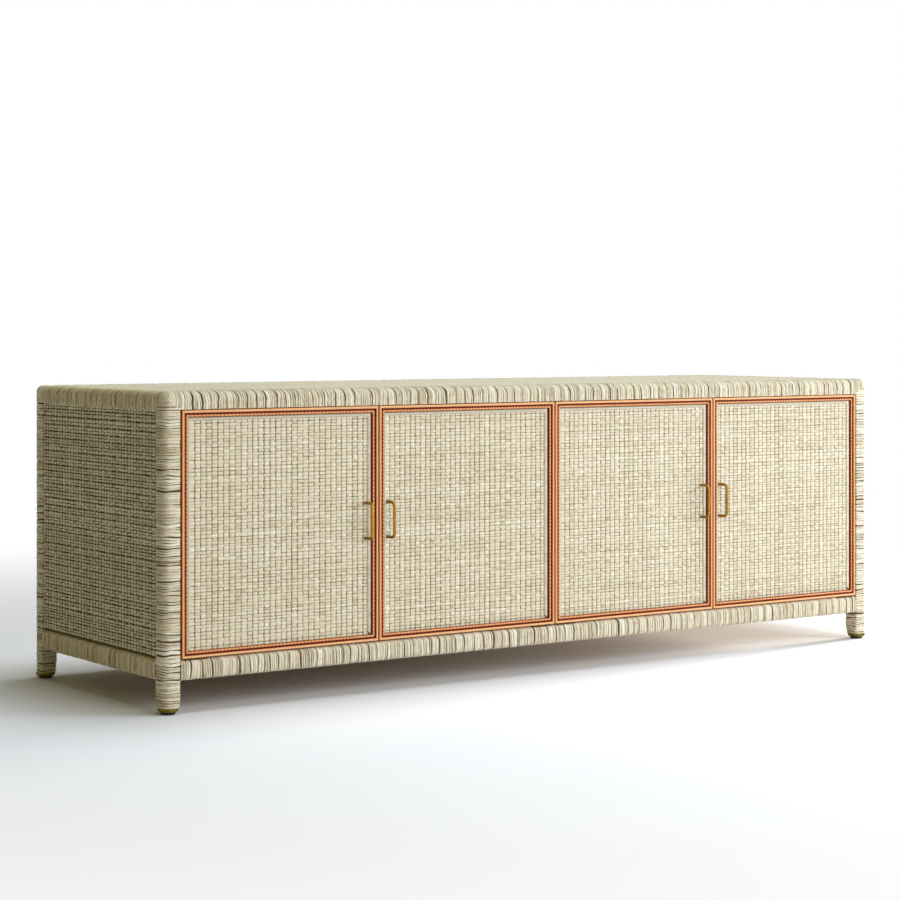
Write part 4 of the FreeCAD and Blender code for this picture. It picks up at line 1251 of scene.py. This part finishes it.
def add_floor(stage):
    """Wide pale floor that turns white far from the cabinet."""
    corners = [(x * FLOOR_REACH, y * FLOOR_REACH, 0) for x, y in ((-1, -1), (1, -1), (1, 1), (-1, 1))]
    mesh = bpy.data.meshes.new("floor")
    mesh.from_pydata(corners, [], [(0, 1, 2, 3)])
    material, nodes = new_finish("pale floor")
    from_middle = nodes.add("ShaderNodeTexCoord", output="Object")
    distance = nodes.add("ShaderNodeVectorMath", {"operation": "LENGTH"}, {0: from_middle}, output="Value")
    pale = nodes.blend(nodes.grain((3.0, 3.0, 0.0)) * 0.04, stage.floor, WHITE)
    set_shader(material, Base_Color=pale, Roughness=0.8, Specular_IOR_Level=0.2)
    white = nodes.add("ShaderNodeEmission", {}, {"Color": WHITE, "Strength": 1.0})
    shader = Value(nodes, material.node_tree.nodes["Principled BSDF"].outputs[0])
    far = distance.between(WHITE_FROM, WHITE_AT) * seen_directly(nodes)
    both = nodes.add("ShaderNodeMixShader", {}, {0: far, 1: shader, 2: white})
    output = material.node_tree.nodes["Material Output"]
    nodes.feed(output.inputs["Surface"], both)
    mesh.materials.append(material)
    floor = bpy.data.objects.new("floor", mesh)
    bpy.context.scene.collection.objects.link(floor)
    return floor


def set_world(stage):
    """White to look at, and a weaker even light for everything else."""
    world = bpy.data.worlds.new("surroundings")
    world.use_nodes = True
    bpy.context.scene.world = world
    nodes = Nodes(world.node_tree)
    background = world.node_tree.nodes["Background"]
    direct = seen_directly(nodes)
    nodes.feed(background.inputs["Color"], nodes.blend(direct, stage.surroundings, WHITE))
    nodes.feed(background.inputs["Strength"], stage.ambient + direct * (1.0 - stage.ambient))


# Operators

class CREDENZA_OT_wrap_posts(Operator):
    """Winds strands round the four posts"""

    bl_idname = "credenza.wrap_posts"
    bl_label = "Wrap posts"

    def execute(self, context):
        for post in POSTS:
            post_wrapping(post, context.scene.credenza_wrap)
        return {"FINISHED"}


class CREDENZA_OT_wrap_rails(Operator):
    """Winds strands round the top and bottom rails"""

    bl_idname = "credenza.wrap_rails"
    bl_label = "Wrap rails"

    def execute(self, context):
        for level in ("top", "bottom"):
            for side in ("front", "back", "left", "right"):
                rail_wrapping(f"{level}_rail_{side}", context.scene.credenza_wrap)
        return {"FINISHED"}


class CREDENZA_OT_weave_doors(Operator):
    """Weaves the panels of the doors"""

    bl_idname = "credenza.weave_doors"
    bl_label = "Weave doors"

    def execute(self, context):
        look = front_look(context.scene.credenza_weave)
        for door in DOORS:
            weave_panel(door, door, door + "_weave", 1, -1.0, DOOR_INSET, look)
        return {"FINISHED"}


class CREDENZA_OT_weave_case(Operator):
    """Weaves the sides and the top of the cabinet"""

    bl_idname = "credenza.weave_case"
    bl_label = "Weave sides and top"

    def execute(self, context):
        sizes = context.scene.credenza_weave
        for side, sign in (("left", -1.0), ("right", 1.0)):
            weave_panel("side_" + side, "root", "side_weave_" + side, 0, sign, SIDE_INSET, side_look(sizes))
        weave_panel("top", "root", "top_weave", 2, 1.0, TOP_INSET, front_look(sizes))
        return {"FINISHED"}


class CREDENZA_OT_trim_doors(Operator):
    """Sweeps the stained band, bead and border round each door"""

    bl_idname = "credenza.trim_doors"
    bl_label = "Trim doors"

    def execute(self, context):
        for door in DOORS:
            trim_pieces(door, context.scene.credenza_trim)
        return {"FINISHED"}


class CREDENZA_OT_bend_pulls(Operator):
    """Bends the brass pulls"""

    bl_idname = "credenza.bend_pulls"
    bl_label = "Bend pulls"

    def execute(self, context):
        for door in DOORS:
            pull_piece(door)
        return {"FINISHED"}


class CREDENZA_OT_turn_feet(Operator):
    """Turns the brass ferrules and black glides under the posts"""

    bl_idname = "credenza.turn_feet"
    bl_label = "Turn feet"

    def execute(self, context):
        low, high = box_of("foot_ferrules")
        ferrule = ferrule_profile(low[2], high[2])
        turned_feet("ferrules", "foot_ferrules", "aged brass", ferrule)
        turned_feet("glides", "foot_glides", "glide plastic", glide_profile(low[2]))
        return {"FINISHED"}


class CREDENZA_OT_finish_boards(Operator):
    """Gives boards, shelves and hardware their finishes"""

    bl_idname = "credenza.finish_boards"
    bl_label = "Finish boards and hardware"

    def execute(self, context):
        finishes = {"steel": "plated steel", "brass": "satin brass", "catch_plastic": "catch plastic"}
        upright = ("centre_partition", "side_board", "door_")
        for part in frame["record"]["subparts"]:
            node = part["node"]
            if frame["nodes"][node].hide_render:
                continue
            finish = finishes.get(part["material_slot"])
            if finish == "satin brass" and "hinge" in node:
                finish = "dark bronze"
            if finish is None:
                finish = "veneer upright" if node.startswith(upright) else "veneer along"
            held = frame["nodes"][node].data.materials
            held.clear()
            held.append(finish_named(finish))
        return {"FINISHED"}


class CREDENZA_OT_set_stage(Operator):
    """Sets the camera, the lights, the floor and the white surroundings"""

    bl_idname = "credenza.set_stage"
    bl_label = "Set stage"

    def execute(self, context):
        stage = context.scene.credenza_stage
        add_camera(stage)
        add_light("key light", stage.key, stage.cool, KEY_STAND)
        add_light("front light", stage.front, stage.mild, FRONT_STAND)
        add_light("overhead light", stage.overhead, stage.cool, OVERHEAD_STAND)
        low = add_light("low light", stage.low, stage.warm, LOW_STAND)
        low.light_linking.receiver_collection = bpy.data.collections.new("floor only")
        low.light_linking.receiver_collection.objects.link(add_floor(stage))
        set_world(stage)
        context.scene.view_settings.view_transform = "Standard"
        return {"FINISHED"}


class CREDENZA_PT_pieces(Panel):
    """Buttons that build the credenza's pieces"""

    bl_idname = "CREDENZA_PT_pieces"
    bl_label = "Credenza"
    bl_space_type = "VIEW_3D"
    bl_region_type = "UI"
    bl_category = "Credenza"

    def draw(self, context):
        for operator in OPERATORS:
            self.layout.operator(operator.bl_idname)


SETTINGS = {"credenza_wrap": WrapSettings, "credenza_weave": WeaveSettings, "credenza_trim": TrimSettings,
            "credenza_finish": FinishSettings, "credenza_stage": StageSettings}
OPERATORS = (CREDENZA_OT_set_stage, CREDENZA_OT_wrap_posts, CREDENZA_OT_wrap_rails, CREDENZA_OT_weave_doors,
             CREDENZA_OT_weave_case, CREDENZA_OT_trim_doors, CREDENZA_OT_bend_pulls, CREDENZA_OT_turn_feet,
             CREDENZA_OT_finish_boards)


def register():
    for name, settings in SETTINGS.items():
        bpy.utils.register_class(settings)
        setattr(bpy.types.Scene, name, PointerProperty(type=settings))
    for kind in (*OPERATORS, CREDENZA_PT_pieces):
        bpy.utils.register_class(kind)


def unregister():
    for kind in (CREDENZA_PT_pieces, *reversed(OPERATORS)):
        bpy.utils.unregister_class(kind)
    for name, settings in SETTINGS.items():
        delattr(bpy.types.Scene, name)
        bpy.utils.unregister_class(settings)


def main():
    """Builds every piece."""
    register()
    for operator in OPERATORS:
        group, name = operator.bl_idname.split(".")
        getattr(getattr(bpy.ops, group), name)()


if __name__ == "__main__":
    main()
